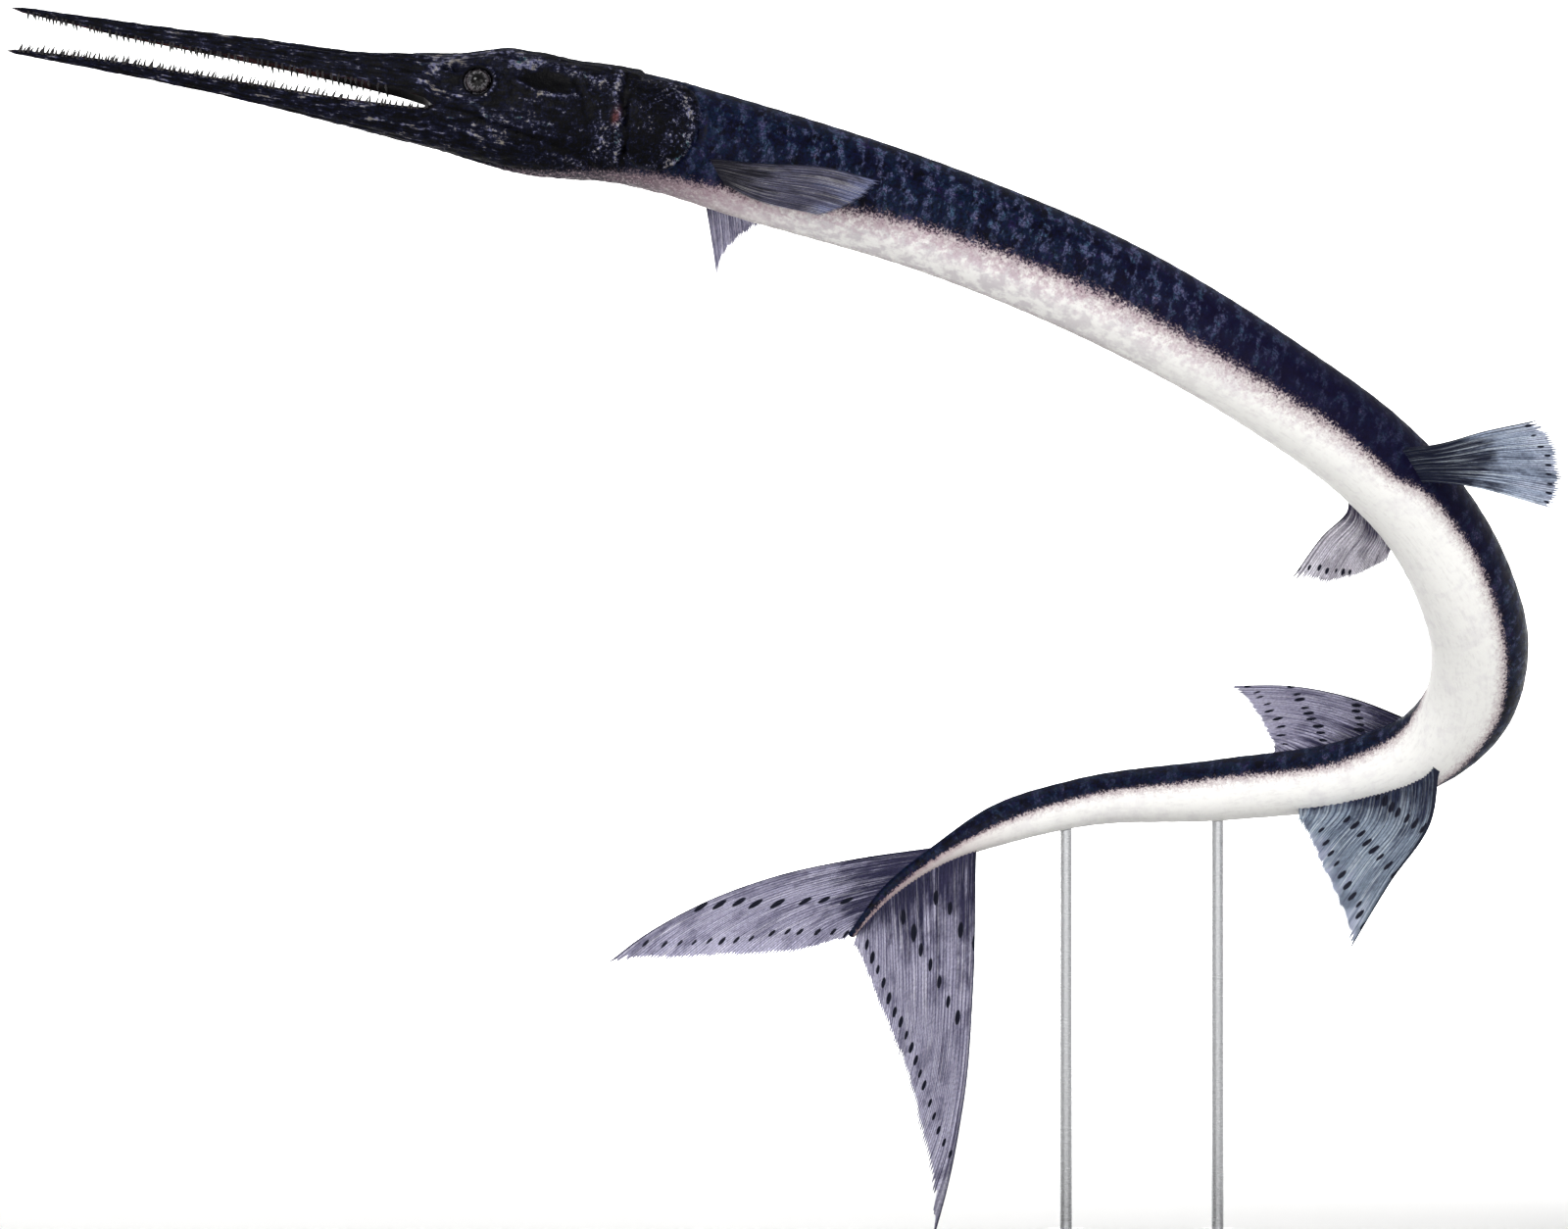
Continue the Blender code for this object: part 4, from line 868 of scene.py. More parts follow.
def makeEye(name, flank, material):
    form, middle = head["eye"], distanceAtX(head["eye"]["x"])
    way = outward(middle, flank * math.radians(form["angle"] + form["tilt"]))
    centre = onSkin(middle, flank * math.radians(form["angle"])) - form["sunk"] * mm * way
    side = unit(np.cross(way, [0, 0, 1.0]))
    up = np.cross(side, way)
    tip, turn = np.linspace(0.06, math.pi - 0.06, 44), np.linspace(0, 2 * math.pi, 72, endpoint=False)
    tip, turn = np.meshgrid(tip, turn, indexing="ij")
    radius = form["radius"] + eyeLooks["bulge"] * np.exp(-((tip / 0.55) ** 2))
    flat = radius * np.sin(tip)
    points = centre + mm * (
        (radius * np.cos(tip))[..., None] * way + (flat * np.cos(turn))[..., None] * side
        + (flat * np.sin(turn))[..., None] * up)
    points = points.reshape(-1, 3)
    grid = np.arange(len(points)).reshape(tip.shape)
    fromAxis = np.where(tip < math.pi / 2, form["radius"] * np.sin(tip), 12 - form["radius"] * np.sin(tip))
    spoke = np.stack([2.2 * np.cos(turn), 2.2 * np.sin(turn), 0.35 * fromAxis], axis=-1)
    poles = [centre + (form["radius"] + eyeLooks["bulge"]) * mm * way, centre - form["radius"] * mm * way]
    points = np.append(points, poles, axis=0)
    count = grid.size
    faces = [quads(grid)]
    faces.append(np.stack([grid[0], np.roll(grid[0], 1), np.full(grid.shape[1], count)], axis=-1))
    faces.append(np.stack([grid[-1], np.roll(grid[-1], 1), np.full(grid.shape[1], count + 1)], axis=-1))
    marks = {
        "fromAxis": np.append(fromAxis.ravel(), [0, 12]),
        "spoke": np.append(spoke.reshape(-1, 3), [[0, 0, 0], [0, 0, 4]], axis=0),
    }
    return newPiece("eyeball_" + name, points, faces, material, ["eye_" + name], marks, crease=89)


print("eyes")
cornea = wetCornea()
makeEye("left", 1, cornea)
makeEye("right", -1, cornea)


# Fins. root: rows of the course at its two ends and the degrees from the back at each. thick, sunk, lift,
# notch: the rays' thickness at the root, how deep the fin sits in the body, how far it bows out, and how far
# the membrane stops short of the rays' tips (mm). material: a name in finLooks.
# tip and end: the free margin's two ends (x, z, y). lead, margin, trail: (x, z) that those edges pass
# through. bands: rows of dark dashes, as (x, z) seen from the camera. dash, dashGap: for each row, half a
# dash's length and width, and the least way between two dashes (mm).
fins = {
    "pectoral_fin_left": {
        "root": (4.58, 4.74, 106, 126), "tip": (-64, 454.6, -100), "end": (-88.8, 440.6, -98),
        "lead": [(-114, 462.9), (-88, 461.0)], "margin": [(-69.2, 450.0), (-75.6, 445.4)],
        "trail": [(-104, 445.6)],
        "rays": 20, "rows": 56, "thick": 2.0, "sunk": 1.6, "lift": 5.0, "notch": 2.2, "material": "smoky",
        "bands": [], "dash": (), "dashGap": (),
    },
    "pectoral_fin_right": {
        "root": (4.60, 5.02, -118, -132), "tip": (-131.2, 413.4, -44), "end": (-113.6, 435.6, -46),
        "lead": [(-134.2, 436.0)], "margin": [(-129.8, 419.8), (-125.2, 426.2)], "trail": [],
        "rays": 18, "rows": 48, "thick": 2.0, "sunk": 1.6, "lift": 1.0, "notch": 3.6, "material": "lilac",
        "bands": [], "dash": (), "dashGap": (),
    },
    "pelvic_fin_left": {
        "root": (9.02, 9.46, 76, 92), "tip": (203.4, 357.4, -58), "end": (210.8, 321.0, -56),
        "lead": [(157.2, 346.0), (180, 352.2)], "margin": [(211.6, 350.2), (214.8, 338.8), (214.4, 329.0)],
        "trail": [(171, 330.7)], "rays": 20, "rows": 56, "thick": 2.0, "sunk": 1.6, "lift": 4.0, "notch": 3.6,
        "material": "dusk", "bands": [[(199.5, 354.6), (206.5, 345), (209.2, 334.5), (207.4, 323.6)]],
        "dash": ((1.3, 0.55),), "dashGap": (3.4,),
    },
    "pelvic_fin_right": {
        "root": (9.10, 10.20, -122, -132), "tip": (103.2, 292.6, 12), "end": (141.4, 299.0, 8),
        "lead": [(126.4, 321.4), (115.2, 309.4)], "margin": [(118.4, 289.2), (127, 291.6)], "trail": [],
        "rays": 22, "rows": 48, "thick": 2.0, "sunk": 1.6, "lift": 0.0, "notch": 3.6, "material": "pale",
        "bands": [[(107.4, 296.6), (113.6, 296.8), (120, 295.8), (125.6, 295)]],
        "dash": ((1.3, 0.7),), "dashGap": (2.5,),
    },
    "dorsal_fin": {
        "root": (13.98, 15.64, 0, 0), "tip": (76.8, 249.0, 106), "end": (97.0, 223.0, 94),
        "lead": [(126.4, 244.4), (103.9, 248.8)], "margin": [(86.6, 237.4), (91.6, 228.4)], "trail": [],
        "rays": 28, "rows": 60, "thick": 2.2, "sunk": 2.0, "lift": 0.0, "notch": 3.6, "material": "lilac",
        "bands": [[(129.2, 242.6), (130.6, 237), (131.6, 232)],
                  [(104.4, 248.2), (108.4, 240.2), (114, 232.2), (116.4, 227.2)],
                  [(86.4, 249.6), (94, 240.2), (97.4, 235.0), (100.4, 225.0)]],
        "dash": ((1.6, 0.9), (1.6, 0.9), (1.4, 0.8)), "dashGap": (2.4, 2.8, 2.8),
    },
    "anal_fin": {
        "root": (13.72, 15.44, 180, 180), "tip": (127.2, 141.6, 32), "end": (106.0, 192.6, 62),
        "lead": [(159.6, 193.8), (143.2, 168.6)], "margin": [(120.8, 159.4), (113.0, 175.6)], "trail": [],
        "rays": 32, "rows": 64, "thick": 2.2, "sunk": 2.0, "lift": 0.0, "notch": 3.4, "material": "slate",
        "bands": [[(139, 204), (146.8, 196.2), (156.4, 190.8)],
                  [(126, 195), (131, 189), (136.4, 183), (141.2, 177), (147, 171.8)],
                  [(113, 193), (118.4, 182.6), (122.8, 174.2), (126.4, 167), (130.4, 160.2), (131.4, 151)]],
        "dash": ((2.1, 1.15), (2.0, 1.05), (1.8, 0.95)), "dashGap": (3.2, 3.8, 3.8),
    },
    "caudal_fin_upper": {
        "root": (19.02, 20.88, 0, 0), "tip": (-175.6, 136.0, 58), "end": (-79.8, 144.6, 69),
        "lead": [(-75.4, 178.2), (-106.8, 171.4), (-138.2, 159.8), (-164.4, 144.8)],
        "margin": [(-130.8, 137.2), (-91.2, 140.8)], "trail": [],
        "rays": 34, "rows": 84, "thick": 1.5, "sunk": 0.9, "lift": 0.0, "notch": 3.6, "material": "lilac",
        "bands": [[(-137, 158.6), (-124.4, 160.6), (-110, 159.8), (-88, 161.4), (-76, 161)],
                  [(-160, 143.2), (-152, 143.8), (-136, 144.6), (-118, 145.4), (-108, 148.2), (-91.6, 148.6),
                   (-77.6, 147.8)]],
        "dash": ((2.7, 1.0), (1.6, 0.75)), "dashGap": (7.0, 5.2),
    },
    "caudal_fin_lower": {
        "root": (18.50, 20.84, 180, 180), "tip": (-41.0, 42.0, 82), "end": (-76.0, 142.0, 70),
        "lead": [(-26.8, 124.6), (-30.8, 78.6), (-36.8, 52.4)],
        "margin": [(-48.2, 64), (-52.0, 80), (-56.6, 95), (-64.6, 114)], "trail": [],
        "rays": 38, "rows": 96, "thick": 1.5, "sunk": 0.9, "lift": 0.0, "notch": 3.6, "material": "lilac",
        "filament": 21.0,
        "bands": [[(-47.8, 166.6), (-42.4, 163), (-37.6, 160.2), (-33.6, 152.2), (-29.6, 147),
                   (-26.4, 143.8)],
                  [(-57, 156.4), (-52, 149.8), (-46, 137), (-41.6, 129.8), (-37.6, 121.8), (-33.6, 113.8)],
                  [(-70.2, 143.8), (-62.8, 125.8), (-59, 117), (-55.2, 109.4), (-51.2, 98.6), (-47.6, 87.8),
                   (-44, 76.6), (-39.6, 64.6), (-37.2, 57.8)]],
        "dash": ((3.0, 1.05), (3.0, 1.05), (2.1, 0.85)), "dashGap": (7.0, 6.0, 4.9),
    },
}
finBuild = {
    "columns": 8,  # to a ray
    "branchFrom": 0.42, "branchTo": 0.72,  # shares of a ray's length over which it forks
    "membrane": (0.42, 0.24), "rayTip": 0.42,  # thickness at the root and at the margin (mm)
    "flare": 1.5, "flareReach": 2.6,  # the fleshy foot of a fin (mm)
    "jitter": 0.8, "seed": 40,  # unevenness of the branches' lengths (mm)
    "offBand": 1.4,  # how near a ray has to pass to a row's line to have a dash there (mm)
}

# Fin membrane: thin clear skin stretched over bony rays, with pigment along them. Wet, it has a satin gloss,
# darker towards the thick root, and lighter at the margin, where painted light stands in for the light coming
# through.
finLooks = {
    "lilac": {"root": "#26263f", "middle": "#a19eb6", "margin": "#b8b5ce", "line": "#35324f",
              "light": "#d8d5e4", "rootTo": 0.12},
    "slate": {"root": "#141a30", "middle": "#818d9d", "margin": "#a2a8bf", "line": "#232b44",
              "light": "#c5ced8", "rootTo": 0.12},
    "dusk": {"root": "#121629", "middle": "#8d98ad", "margin": "#aab0c4", "line": "#161c30",
             "light": "#bec7d2", "rootTo": 0.4},
    "smoky": {"root": "#0d0c1c", "middle": "#4c4b60", "margin": "#606688", "line": "#0a0914",
              "light": "#aeacb0", "rootTo": 0.2},
    "pale": {"root": "#46415a", "middle": "#cdc8d5", "margin": "#dcd9e4", "line": "#45414f",
             "light": "#efecf2", "rootTo": 0.2},
}
finSkin = {
    "edge": "#151829", "dash": "#0a0d1f", "ior": 1.37, "gloss": 0.2,
    "bump": (0.35, 0.2),  # strength, height (mm)
    "joint": 1.9,  # length of a ray's segments (mm)
    # noises: size across in rays and along them in mm, detail, roughness
    "noises": {
        "byRay": (1.0, 55.556, 1.0, 0.5), "streaks": (0.41667, 33.333, 3.0, 0.6),
        "cloudy": (4.5455, 14.286, 3.0, 0.6), "grainy": (0.38462, 1.25, 3.0, 0.7),
    },
    # ramps: what each follows, where it starts and stops, its value there, and whether it is soft
    "ramps": {
        "light": ("streaks", 0.5, 0.68, 0.0, 0.7, True), "outward": ("toMargin", 0.0, 0.4, 0.25, 1.0, False),
        "dark": ("streaks", 0.46, 0.34, 0.0, 0.65, True), "strength": ("byRay", 0.3, 0.66, 0.3, 1.0, False),
        "crest": ("ridge", 0.45, 0.95, 0.0, 0.85, True), "dim": ("cloudy", 0.5, 0.36, 0.0, 0.4, True),
        "grain": ("grainy", 0.32, 0.68, 0.68, 1.32, False), "rough": ("grainy", 0.3, 0.7, 0.38, 0.55, False),
    },
    "placeCloud": 0.7, "placeRay": 0.6, "placeShift": -0.65,  # how far the shades' places wander
    "dashEdge": (0.95, 0.7), "dashRagged": -0.5,  # a dash's outline, and how ragged it is
    "jointWave": (0.7, 1.0, 0.0, -0.6),  # where a joint's dip starts and stops, and its depth there
}


def finMembrane(name):
    looks = finLooks[name]
    material, tree, shader = newMaterial("fin_membrane_" + name)
    flow = addNode(tree, "ShaderNodeAttribute", {"attribute_name": "rayFlow"}).outputs["Vector"]
    of = {}  # what the looks follow, by name: marks on the points, noises, and ramps of these
    for mark in ("toMargin", "ridge", "dash", "leading", "along"):
        of[mark] = addNode(tree, "ShaderNodeAttribute", {"attribute_name": mark}).outputs["Fac"]
    for noise, (across, along, detail, rough) in finSkin["noises"].items():
        place = addNode(tree, "ShaderNodeMapping", {}, Vector=flow, Scale=(1 / across, 1 / along, 1.0))
        of[noise] = addNode(tree, "ShaderNodeTexNoise", {}, Vector=place, Scale=1.0, Detail=detail,
                            Roughness=rough)
    for ramp, (part, start, stop, low, high, isSoft) in finSkin["ramps"].items():
        of[ramp] = addNode(tree, "ShaderNodeMapRange", soft if isSoft else {}, Value=of[part], in1=start,
                           in2=stop, in3=low, in4=high)
    # from the dark root to the pale margin, with light and dark streaks. The pale margin and the light
    # streaks near it are painted light, for the light coming through the thin skin
    place = addNode(tree, "ShaderNodeMath", timesAdd, in0=of["cloudy"], in1=finSkin["placeCloud"],
                    in2=of["toMargin"])
    place = addNode(tree, "ShaderNodeMath", timesAdd, in0=of["byRay"], in1=finSkin["placeRay"], in2=place)
    place = addNode(tree, "ShaderNodeMath", {"operation": "ADD"}, in0=place, in1=finSkin["placeShift"])
    base = addNode(tree, "ShaderNodeValToRGB", {"stops": [
        (0.0, looks["root"]), (looks["rootTo"], looks["root"]), (looks["rootTo"] + 0.26, looks["middle"]),
        (0.75, looks["middle"]), (1.0, looks["margin"])]}, Fac=place)
    # painted light: pale streaks between the rays, more of them towards the margin
    paintedThroughLight = addNode(tree, "ShaderNodeMath", times, in0=of["light"], in1=of["outward"])
    colour = addNode(tree, "ShaderNodeMix", tint, in0=paintedThroughLight, in6=base, in7=linear(looks["light"]))
    # pigment lies along each ray, more on some than on others, and in soft dark clouds
    lined = addNode(tree, "ShaderNodeMath", times, in0=of["crest"], in1=of["strength"])
    for share in (of["dark"], lined, of["dim"]):
        colour = addNode(tree, "ShaderNodeMix", tint, in0=share, in6=colour, in7=linear(looks["line"]))
    colour = addNode(tree, "ShaderNodeVectorMath", {"operation": "SCALE"}, in0=colour, Scale=of["grain"])
    # rows of dark dashes, and the dark leading edge
    ragged = addNode(tree, "ShaderNodeMath", timesAdd, in0=of["grainy"], in1=finSkin["dashRagged"],
                     in2=of["dash"])
    start, stop = finSkin["dashEdge"]
    dashed = addNode(tree, "ShaderNodeMapRange", soft, Value=ragged, in1=start, in2=stop)
    colour = addNode(tree, "ShaderNodeMix", tint, in0=dashed, in6=colour, in7=linear(finSkin["dash"]))
    colour = addNode(tree, "ShaderNodeMix", tint, in0=of["leading"], in6=colour, in7=linear(finSkin["edge"]))
    tree.links.new(colour.outputs[2], shader.inputs["Base Color"])
    tree.links.new(of["rough"].outputs[0], shader.inputs["Roughness"])
    shader.inputs["IOR"].default_value = finSkin["ior"]
    shader.inputs["Specular IOR Level"].default_value = finSkin["gloss"]
    # relief: grain, and the joints between a ray's segments
    turns = addNode(tree, "ShaderNodeMath", times, in0=of["along"], in1=2 * math.pi / finSkin["joint"])
    wave = addNode(tree, "ShaderNodeMath", {"operation": "SINE"}, in0=turns)
    start, stop, low, high = finSkin["jointWave"]
    joint = addNode(tree, "ShaderNodeMapRange", soft, Value=wave, in1=start, in2=stop, in3=low, in4=high)
    jointed = addNode(tree, "ShaderNodeMath", timesAdd, in0=joint, in1=of["ridge"], in2=of["grainy"])
    bump = addNode(tree, "ShaderNodeBump", {}, Height=jointed, Strength=finSkin["bump"][0],
                   Distance=finSkin["bump"][1] * mm)
    tree.links.new(bump.outputs[0], shader.inputs["Normal"])
    return material


def edgeCurve(start, through, stop):
    # a smooth line from start to stop by way of points given as seen, at depths between the two
    depths = np.linspace(start[1], stop[1], len(through) + 2)[1:-1] / mm
    knots = np.array([start, *(seen(x, z, y) for (x, z), y in zip(through, depths)), stop])
    gaps = np.concatenate([[0], np.cumsum(np.linalg.norm(np.diff(knots, axis=0), axis=1))])
    return lambda share: smoothCurve(gaps, knots, share * gaps[-1])


def finSurface(form, u, v):
    # the fin's middle surface: u runs across the rays and v out along them
    first, last, angleA, angleB = form["root"]
    out = -form["sunk"] * mm

    def root(share, lift=out):
        rows = first + (last - first) * share
        at = np.interp(rows, np.arange(len(lengths)), lengths)
        return onSkin(at, np.radians(angleA + (angleB - angleA) * share), lift)

    foot, heel = root(0.0), root(1.0)
    tip, end = seen(*form["tip"]), seen(*form["end"])
    lead, margin = edgeCurve(foot, form["lead"], tip), edgeCurve(tip, form["margin"], end)
    trail = edgeCurve(heel, form["trail"], end)
    a, b = u[..., None], v[..., None]
    flat = (1 - a) * (1 - b) * foot + (1 - a) * b * tip + a * (1 - b) * heel + a * b * end
    grid = (1 - a) * lead(v) + a * trail(v) + (1 - b) * root(u) + b * margin(u) - flat
    outWay = unit(root(u, 0.0) - root(u))
    # it bows out most at a third of its length, where 6.75 b (1 - b)^2 is 1
    grid = grid + 6.75 * form["lift"] * mm * b * (1 - b) ** 2 * outWay
    streamer = form.get("filament", 0) * mm * np.exp(-22 * a) * unit(tip - foot)
    return grid + b**6 * streamer


def makeFin(name, form, material, seed):
    build, draw = finBuild, np.random.default_rng(finBuild["seed"] + seed)
    rays, perRay, rows = form["rays"], build["columns"], form["rows"]
    columns = rays * perRay + 1
    phase = np.arange(columns) / perRay  # whole numbers are the rays' middles
    ray = np.clip(np.round(phase), 0, rays).astype(int)
    offset = phase - ray
    u = phase / rays
    # each ray forks: its middle splits into two branches that part towards the margin
    rowShare = np.linspace(0, 1, rows + 1)
    forks = np.minimum(1, ray / 3) * (ray < rays)
    fork = 0.25 * smoothStep((rowShare - build["branchFrom"]) / (build["branchTo"] - build["branchFrom"]))
    parting = forks[:, None] * fork
    width = 0.27 - 0.5 * parting
    ridge = np.exp(-(((np.abs(offset)[:, None] - parting) / width) ** 2))
    # tips of the branches stand free of the membrane, at uneven lengths
    coarse = finSurface(form, u[:, None] * np.ones(9), np.linspace(0, 1, 9) * np.ones((columns, 1)))
    rayLength = np.linalg.norm(np.diff(coarse, axis=1), axis=-1).sum(axis=1) / mm
    branch = 2 * ray + (offset > 0)
    uneven = draw.uniform(-1, 1, branch.max() + 2)[branch] * build["jitter"]
    short = form["notch"] * (1 - ridge[:, -1]) + build["jitter"] + uneven
    short *= smoothStep(u / 0.03) * 0.85 + 0.15
    reach = 1 - short / np.maximum(rayLength, 4 * form["notch"])
    v = rowShare * reach[:, None]
    grid = finSurface(form, u[:, None] * np.ones(rows + 1), v)
    normal = unit(np.cross(np.gradient(grid, axis=0), np.gradient(grid, axis=1)))
    along = np.concatenate([np.zeros((columns, 1)), np.cumsum(
        np.linalg.norm(np.diff(grid, axis=1), axis=-1), axis=1)], axis=1) / mm
    across, rayWay = np.gradient(grid, axis=0), unit(np.gradient(grid, axis=1))
    across = across - (across * rayWay).sum(-1, keepdims=True) * rayWay
    pitch = np.linalg.norm(across, axis=-1) * perRay / mm
    membrane = build["membrane"][0] + (build["membrane"][1] - build["membrane"][0]) * rowShare
    rayThick = form["thick"] + (build["rayTip"] - form["thick"]) * rowShare**0.55
    rayThick = np.minimum(rayThick, np.maximum(membrane + 0.05, 0.9 * pitch + 0.25))
    bold = 1 + 0.5 * np.exp(-u / 0.02)[:, None]
    thick = membrane + (rayThick * bold - membrane) * ridge
    thick = thick + build["flare"] * np.exp(-(((along - form["sunk"]) / build["flareReach"]) ** 2))
    half = thick[..., None] * mm / 2 * normal
    # rows of dashes: where a ray's middle crosses a band
    centre = asSeen(grid[::perRay])
    dash = np.full(grid.shape[:2], 3.0)
    for k, band in enumerate(form["bands"]):
        halfLong, halfWide = form["dash"][k]
        band = np.array(band)
        gap = np.full(centre.shape[:2], 1e3)
        for p, q in zip(band, band[1:]):
            share = np.clip(((centre - p) @ (q - p)) / ((q - p) @ (q - p)), 0, 1)
            gap = np.minimum(gap, np.linalg.norm(centre - p - share[..., None] * (q - p), axis=-1))
        row = gap.argmin(axis=1)
        last = None
        for n in range(rays + 1):
            shift, size = draw.uniform(-0.7, 0.7), draw.uniform(0.8, 1.2)
            here = centre[n, row[n]]
            tooClose = last is not None and np.linalg.norm(here - last) < form["dashGap"][k]
            if tooClose or gap[n, row[n]] > build["offBand"]:
                continue
            last = here
            mine = np.flatnonzero(np.abs(phase - n) <= 1.3)
            middle = along[n * perRay, row[n]] + shift
            reachAlong = (along[mine] - middle) / (halfLong * size)
            reachAcross = (phase[mine] - n)[:, None] * pitch[mine] / (halfWide * size)
            dash[mine] = np.minimum(dash[mine], np.hypot(reachAlong, reachAcross))
    leading = np.exp(-((u / 0.018) ** 2))[:, None] * (0.9 - 0.25 * rowShare)
    points = np.concatenate([(grid + half).reshape(-1, 3), (grid - half).reshape(-1, 3)])
    number = np.arange(grid[..., 0].size).reshape(columns, rows + 1)
    sheet = number.size
    a, b, c, d = number[:-1, :-1], number[1:, :-1], number[1:, 1:], number[:-1, 1:]
    top = np.stack([a, b, c, d], axis=-1).reshape(-1, 4)
    faces = [top, sheet + top[:, ::-1]]
    rim = np.concatenate([number[:-1, 0], number[-1, :-1], number[:0:-1, -1], number[0, :0:-1]])
    onward = np.roll(rim, -1)
    faces.append(np.stack([rim, rim + sheet, onward + sheet, onward], axis=-1))
    flow = np.stack([phase[:, None] * np.ones(rows + 1), along, np.full(along.shape, 7.3 * seed)], axis=-1)
    marks = {"rayFlow": flow, "toMargin": v, "ridge": ridge, "dash": dash, "leading": leading, "along": along}
    twice = {}
    for mark, values in marks.items():
        values = values.reshape(-1, 3) if values.ndim == 3 else values.ravel()
        twice[mark] = np.concatenate([values, values])
    return newPiece("rayed_" + name, points, faces, material, [name], twice, crease=70)


print("fins")
membranes = {name: finMembrane(name) for name in finLooks}
for k, (name, form) in enumerate(fins.items()):
    makeFin(name, form, membranes[form["material"]], k)


# Stand: a lacquered board on which two steel rods hold the tail

standLooks = {
    "lacquer": [(0.35, "#16130f"), (0.7, "#241e18")],
    "grainWidth": 2.2, "grainStretch": 0.06,  # mm, and the grain's width as a share of its length
    "lacquerRough": (0.33, 0.46), "lacquerBump": (0.15, 0.1), "coat": (0.35, 0.25),  # coat: weight, roughness
    "steelRough": (0.22, 0.4), "steelBump": (0.2, 0.03),  # bump: strength, height (mm)
    "steel": "#c3c4c7", "brushing": 0.35,  # mm between brush lines, real ones about 0.05 mm
}


def lacqueredBeech():
    # beech board, stained black and sprayed with satin lacquer: the grain shows only faintly in the gloss
    material, tree, shader = newMaterial("lacquered_beech")
    place = addNode(tree, "ShaderNodeTexCoord").outputs["Object"]
    long = addNode(tree, "ShaderNodeMapping", {}, Vector=place, Scale=(standLooks["grainStretch"], 1.0, 1.0))
    grain = addNode(tree, "ShaderNodeTexNoise", {}, Vector=long, Scale=1 / (standLooks["grainWidth"] * mm),
                    Detail=6.0, Roughness=0.65)
    shade = addNode(tree, "ShaderNodeValToRGB", {"stops": standLooks["lacquer"]}, Fac=grain)
    tree.links.new(shade.outputs[0], shader.inputs["Base Color"])
    low, high = standLooks["lacquerRough"]
    rough = addNode(tree, "ShaderNodeMapRange", {}, Value=grain, in1=0.3, in2=0.7, in3=low, in4=high)
    tree.links.new(rough.outputs[0], shader.inputs["Roughness"])
    strength, height = standLooks["lacquerBump"]
    bump = addNode(tree, "ShaderNodeBump", {}, Height=grain, Strength=strength, Distance=height * mm)
    tree.links.new(bump.outputs[0], shader.inputs["Normal"])
    shader.inputs["IOR"].default_value = 1.5
    shader.inputs["Coat Weight"].default_value = standLooks["coat"][0]
    shader.inputs["Coat Roughness"].default_value = standLooks["coat"][1]
    return material


def brushedSteel():
    # stainless rod, brushed round its axis on a lathe: a soft streaked shine across the rod
    material, tree, shader = newMaterial("brushed_steel")
    place = addNode(tree, "ShaderNodeTexCoord").outputs["Object"]
    flat = addNode(tree, "ShaderNodeMapping", {}, Vector=place, Scale=(0.05, 0.05, 1.0))
    lines = addNode(tree, "ShaderNodeTexNoise", {}, Vector=flat, Scale=1 / (standLooks["brushing"] * mm),
                    Detail=3.0)
    shader.inputs["Base Color"].default_value = linear(standLooks["steel"])
    shader.inputs["Metallic"].default_value = 1.0
    low, high = standLooks["steelRough"]
    rough = addNode(tree, "ShaderNodeMapRange", {}, Value=lines, in1=0.3, in2=0.7, in3=low, in4=high)
    tree.links.new(rough.outputs[0], shader.inputs["Roughness"])
    strength, height = standLooks["steelBump"]
    bump = addNode(tree, "ShaderNodeBump", {}, Height=lines, Strength=strength, Distance=height * mm)
    tree.links.new(bump.outputs[0], shader.inputs["Normal"])
    return material


def finishNode(name, material):
    nodes[name].data.materials.clear()
    nodes[name].data.materials.append(material)


print("stand")
finishNode("stand_base", lacqueredBeech())
steel = brushedSteel()
for name in ("stand_rod_front", "stand_rod_rear"):
    finishNode(name, steel)


# Set: a round white cove, soft light and the camera

studio = {
    "floorRadius": 5.0, "coveRadius": 2.5,  # m
    "paint": [(0.3, "#f4f4f3"), (0.7, "#f2f2f1")], "pass": 0.66667,  # tones, and how far apart they lie (m)
    "world": 0.5,
    # softboxes: place, aim, size (m), power (W), spread (degrees)
    "lights": {
        "key": {"place": (-1.4, -2.5, 2.4), "aim": (0, 0, 0.3), "size": 1.3, "power": 62, "spread": 180},
        "fill": {"place": (2.2, -2.8, 1.4), "aim": (0, 0, 0.3), "size": 1.6, "power": 22, "spread": 180},
        "backdrop": {"place": (0, 2.6, 4.6), "aim": (0, 4.6, 0), "size": 3.0, "power": 420, "spread": 92},
        "foreground": {"place": (0, -3.4, 4.6), "aim": (0, -5.6, 0), "size": 3.0, "power": 120, "spread": 92},
    },
}


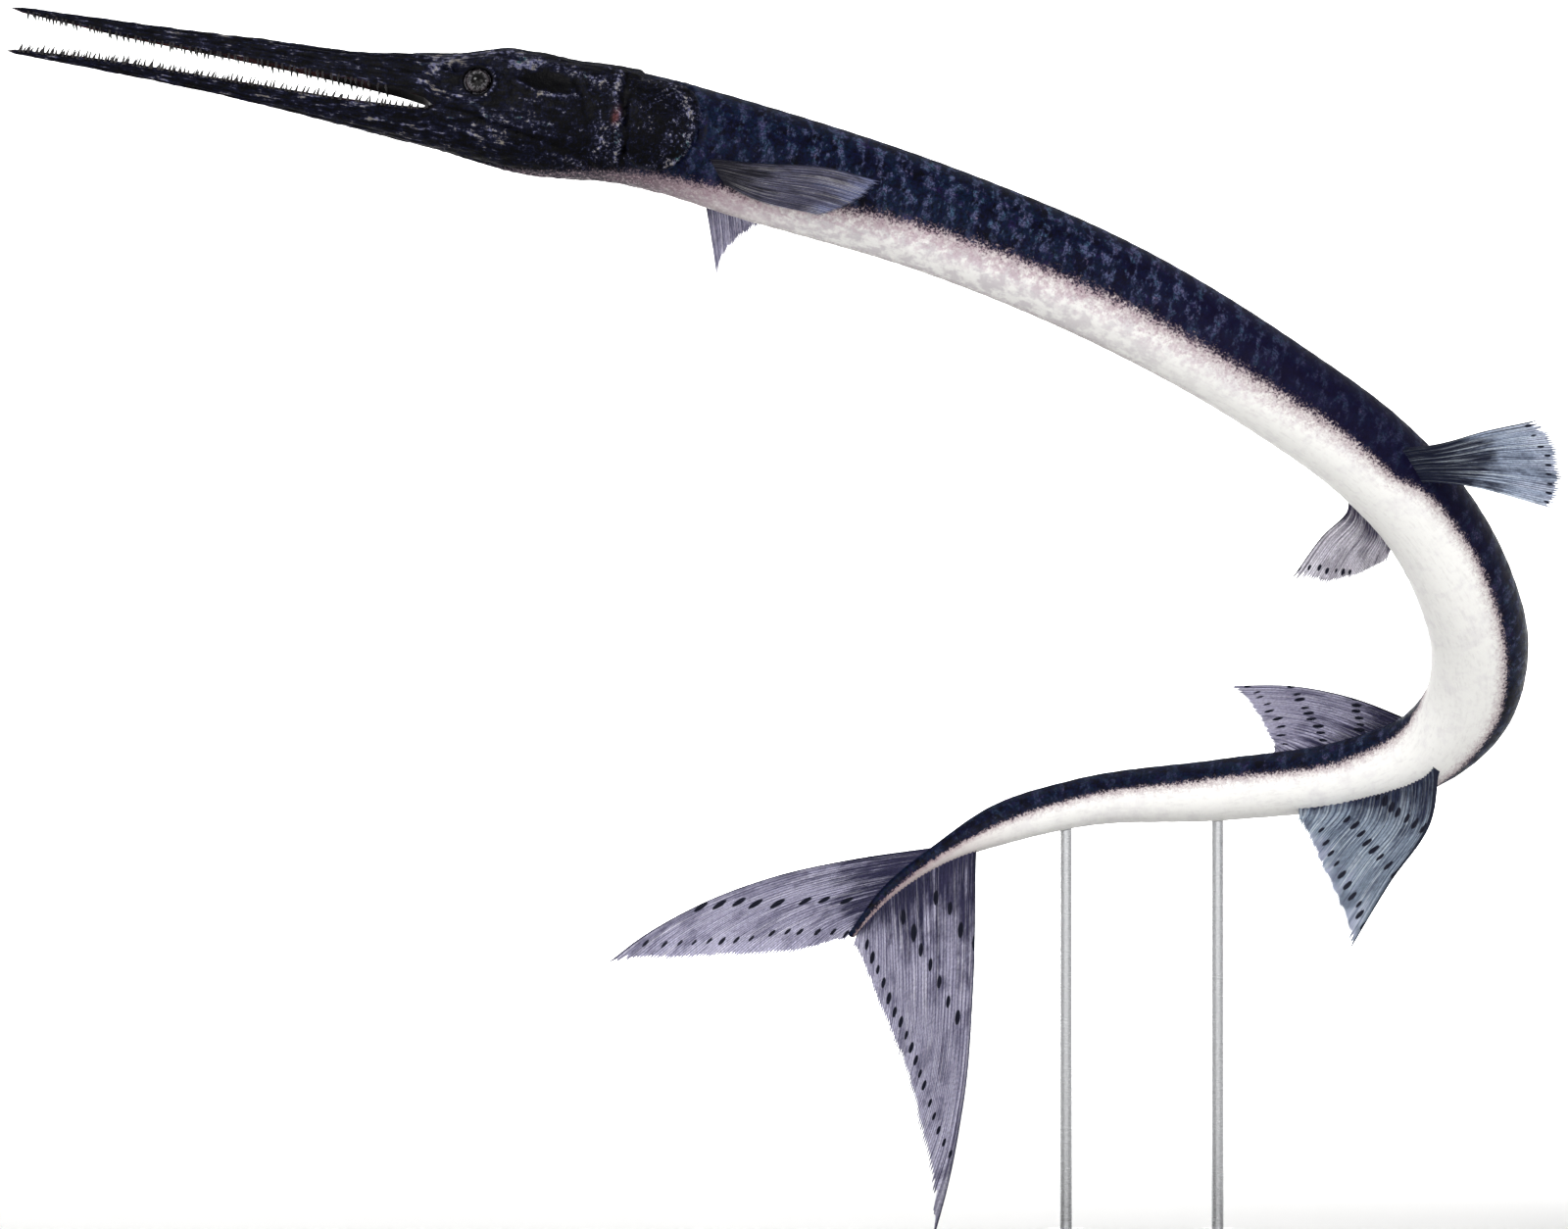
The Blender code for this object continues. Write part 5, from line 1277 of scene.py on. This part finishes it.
def mattWhitePaint():
    # emulsion paint rolled on plaster: quite matt, its tone very slightly uneven between the roller's passes
    material, tree, shader = newMaterial("matt_white_paint")
    place = addNode(tree, "ShaderNodeTexCoord").outputs["Object"]
    passes = addNode(tree, "ShaderNodeTexNoise", {}, Vector=place, Scale=1 / studio["pass"], Detail=0.0)
    shade = addNode(tree, "ShaderNodeValToRGB", {"stops": studio["paint"]}, Fac=passes)
    tree.links.new(shade.outputs[0], shader.inputs["Base Color"])
    shader.inputs["Roughness"].default_value = 0.9
    return material


def makeCove():
    floor, cove = studio["floorRadius"], studio["coveRadius"]
    bend = np.linspace(0, math.pi / 2, 13)
    profile = [(r, 0.0) for r in np.linspace(0.5, floor, 6)]
    profile += [(floor + cove * math.sin(t), cove * (1 - math.cos(t))) for t in bend[1:]]
    turn = np.linspace(0, 2 * math.pi, 96, endpoint=False)
    points = [(r * math.cos(t), r * math.sin(t), z) for r, z in profile for t in turn]
    grid = np.arange(len(points)).reshape(len(profile), -1)
    faces = quads(grid).tolist() + [grid[0].tolist()]
    mesh = bpy.data.meshes.new("white_cove")
    mesh.from_pydata(points, [], faces)
    mesh.shade_smooth()
    mesh.materials.append(mattWhitePaint())
    made = bpy.data.objects.new("white_cove", mesh)
    bpy.context.scene.collection.objects.link(made)


def makeLights():
    world = bpy.data.worlds.new("studio_air")
    world.use_nodes = True
    world.node_tree.nodes["Background"].inputs["Color"].default_value = (1, 1, 1, 1)
    world.node_tree.nodes["Background"].inputs["Strength"].default_value = studio["world"]
    bpy.context.scene.world = world
    for name, form in studio["lights"].items():
        light = bpy.data.lights.new(name, "AREA")
        light.shape, light.size, light.energy = "SQUARE", form["size"], form["power"]
        light.spread = math.radians(form["spread"])
        made = bpy.data.objects.new(name, light)
        made.location = form["place"]
        way = Vector(form["aim"]) - Vector(form["place"])
        made.rotation_euler = way.to_track_quat("-Z", "Y").to_euler()
        bpy.context.scene.collection.objects.link(made)


def makeCamera():
    lens = bpy.data.cameras.new("camera")
    lens.lens, lens.sensor_width = camera["lens"], camera["sensor"]
    lens.clip_start, lens.clip_end = camera["clip"]
    made = bpy.data.objects.new("camera", lens)
    made.location = (camera["x"], camera["y"], camera["z"])
    made.rotation_euler = (math.radians(90), 0, 0)
    bpy.context.scene.collection.objects.link(made)
    bpy.context.scene.camera = made


print("set")
makeCove()
makeLights()
makeCamera()
bpy.context.scene.view_settings.view_transform = "Standard"
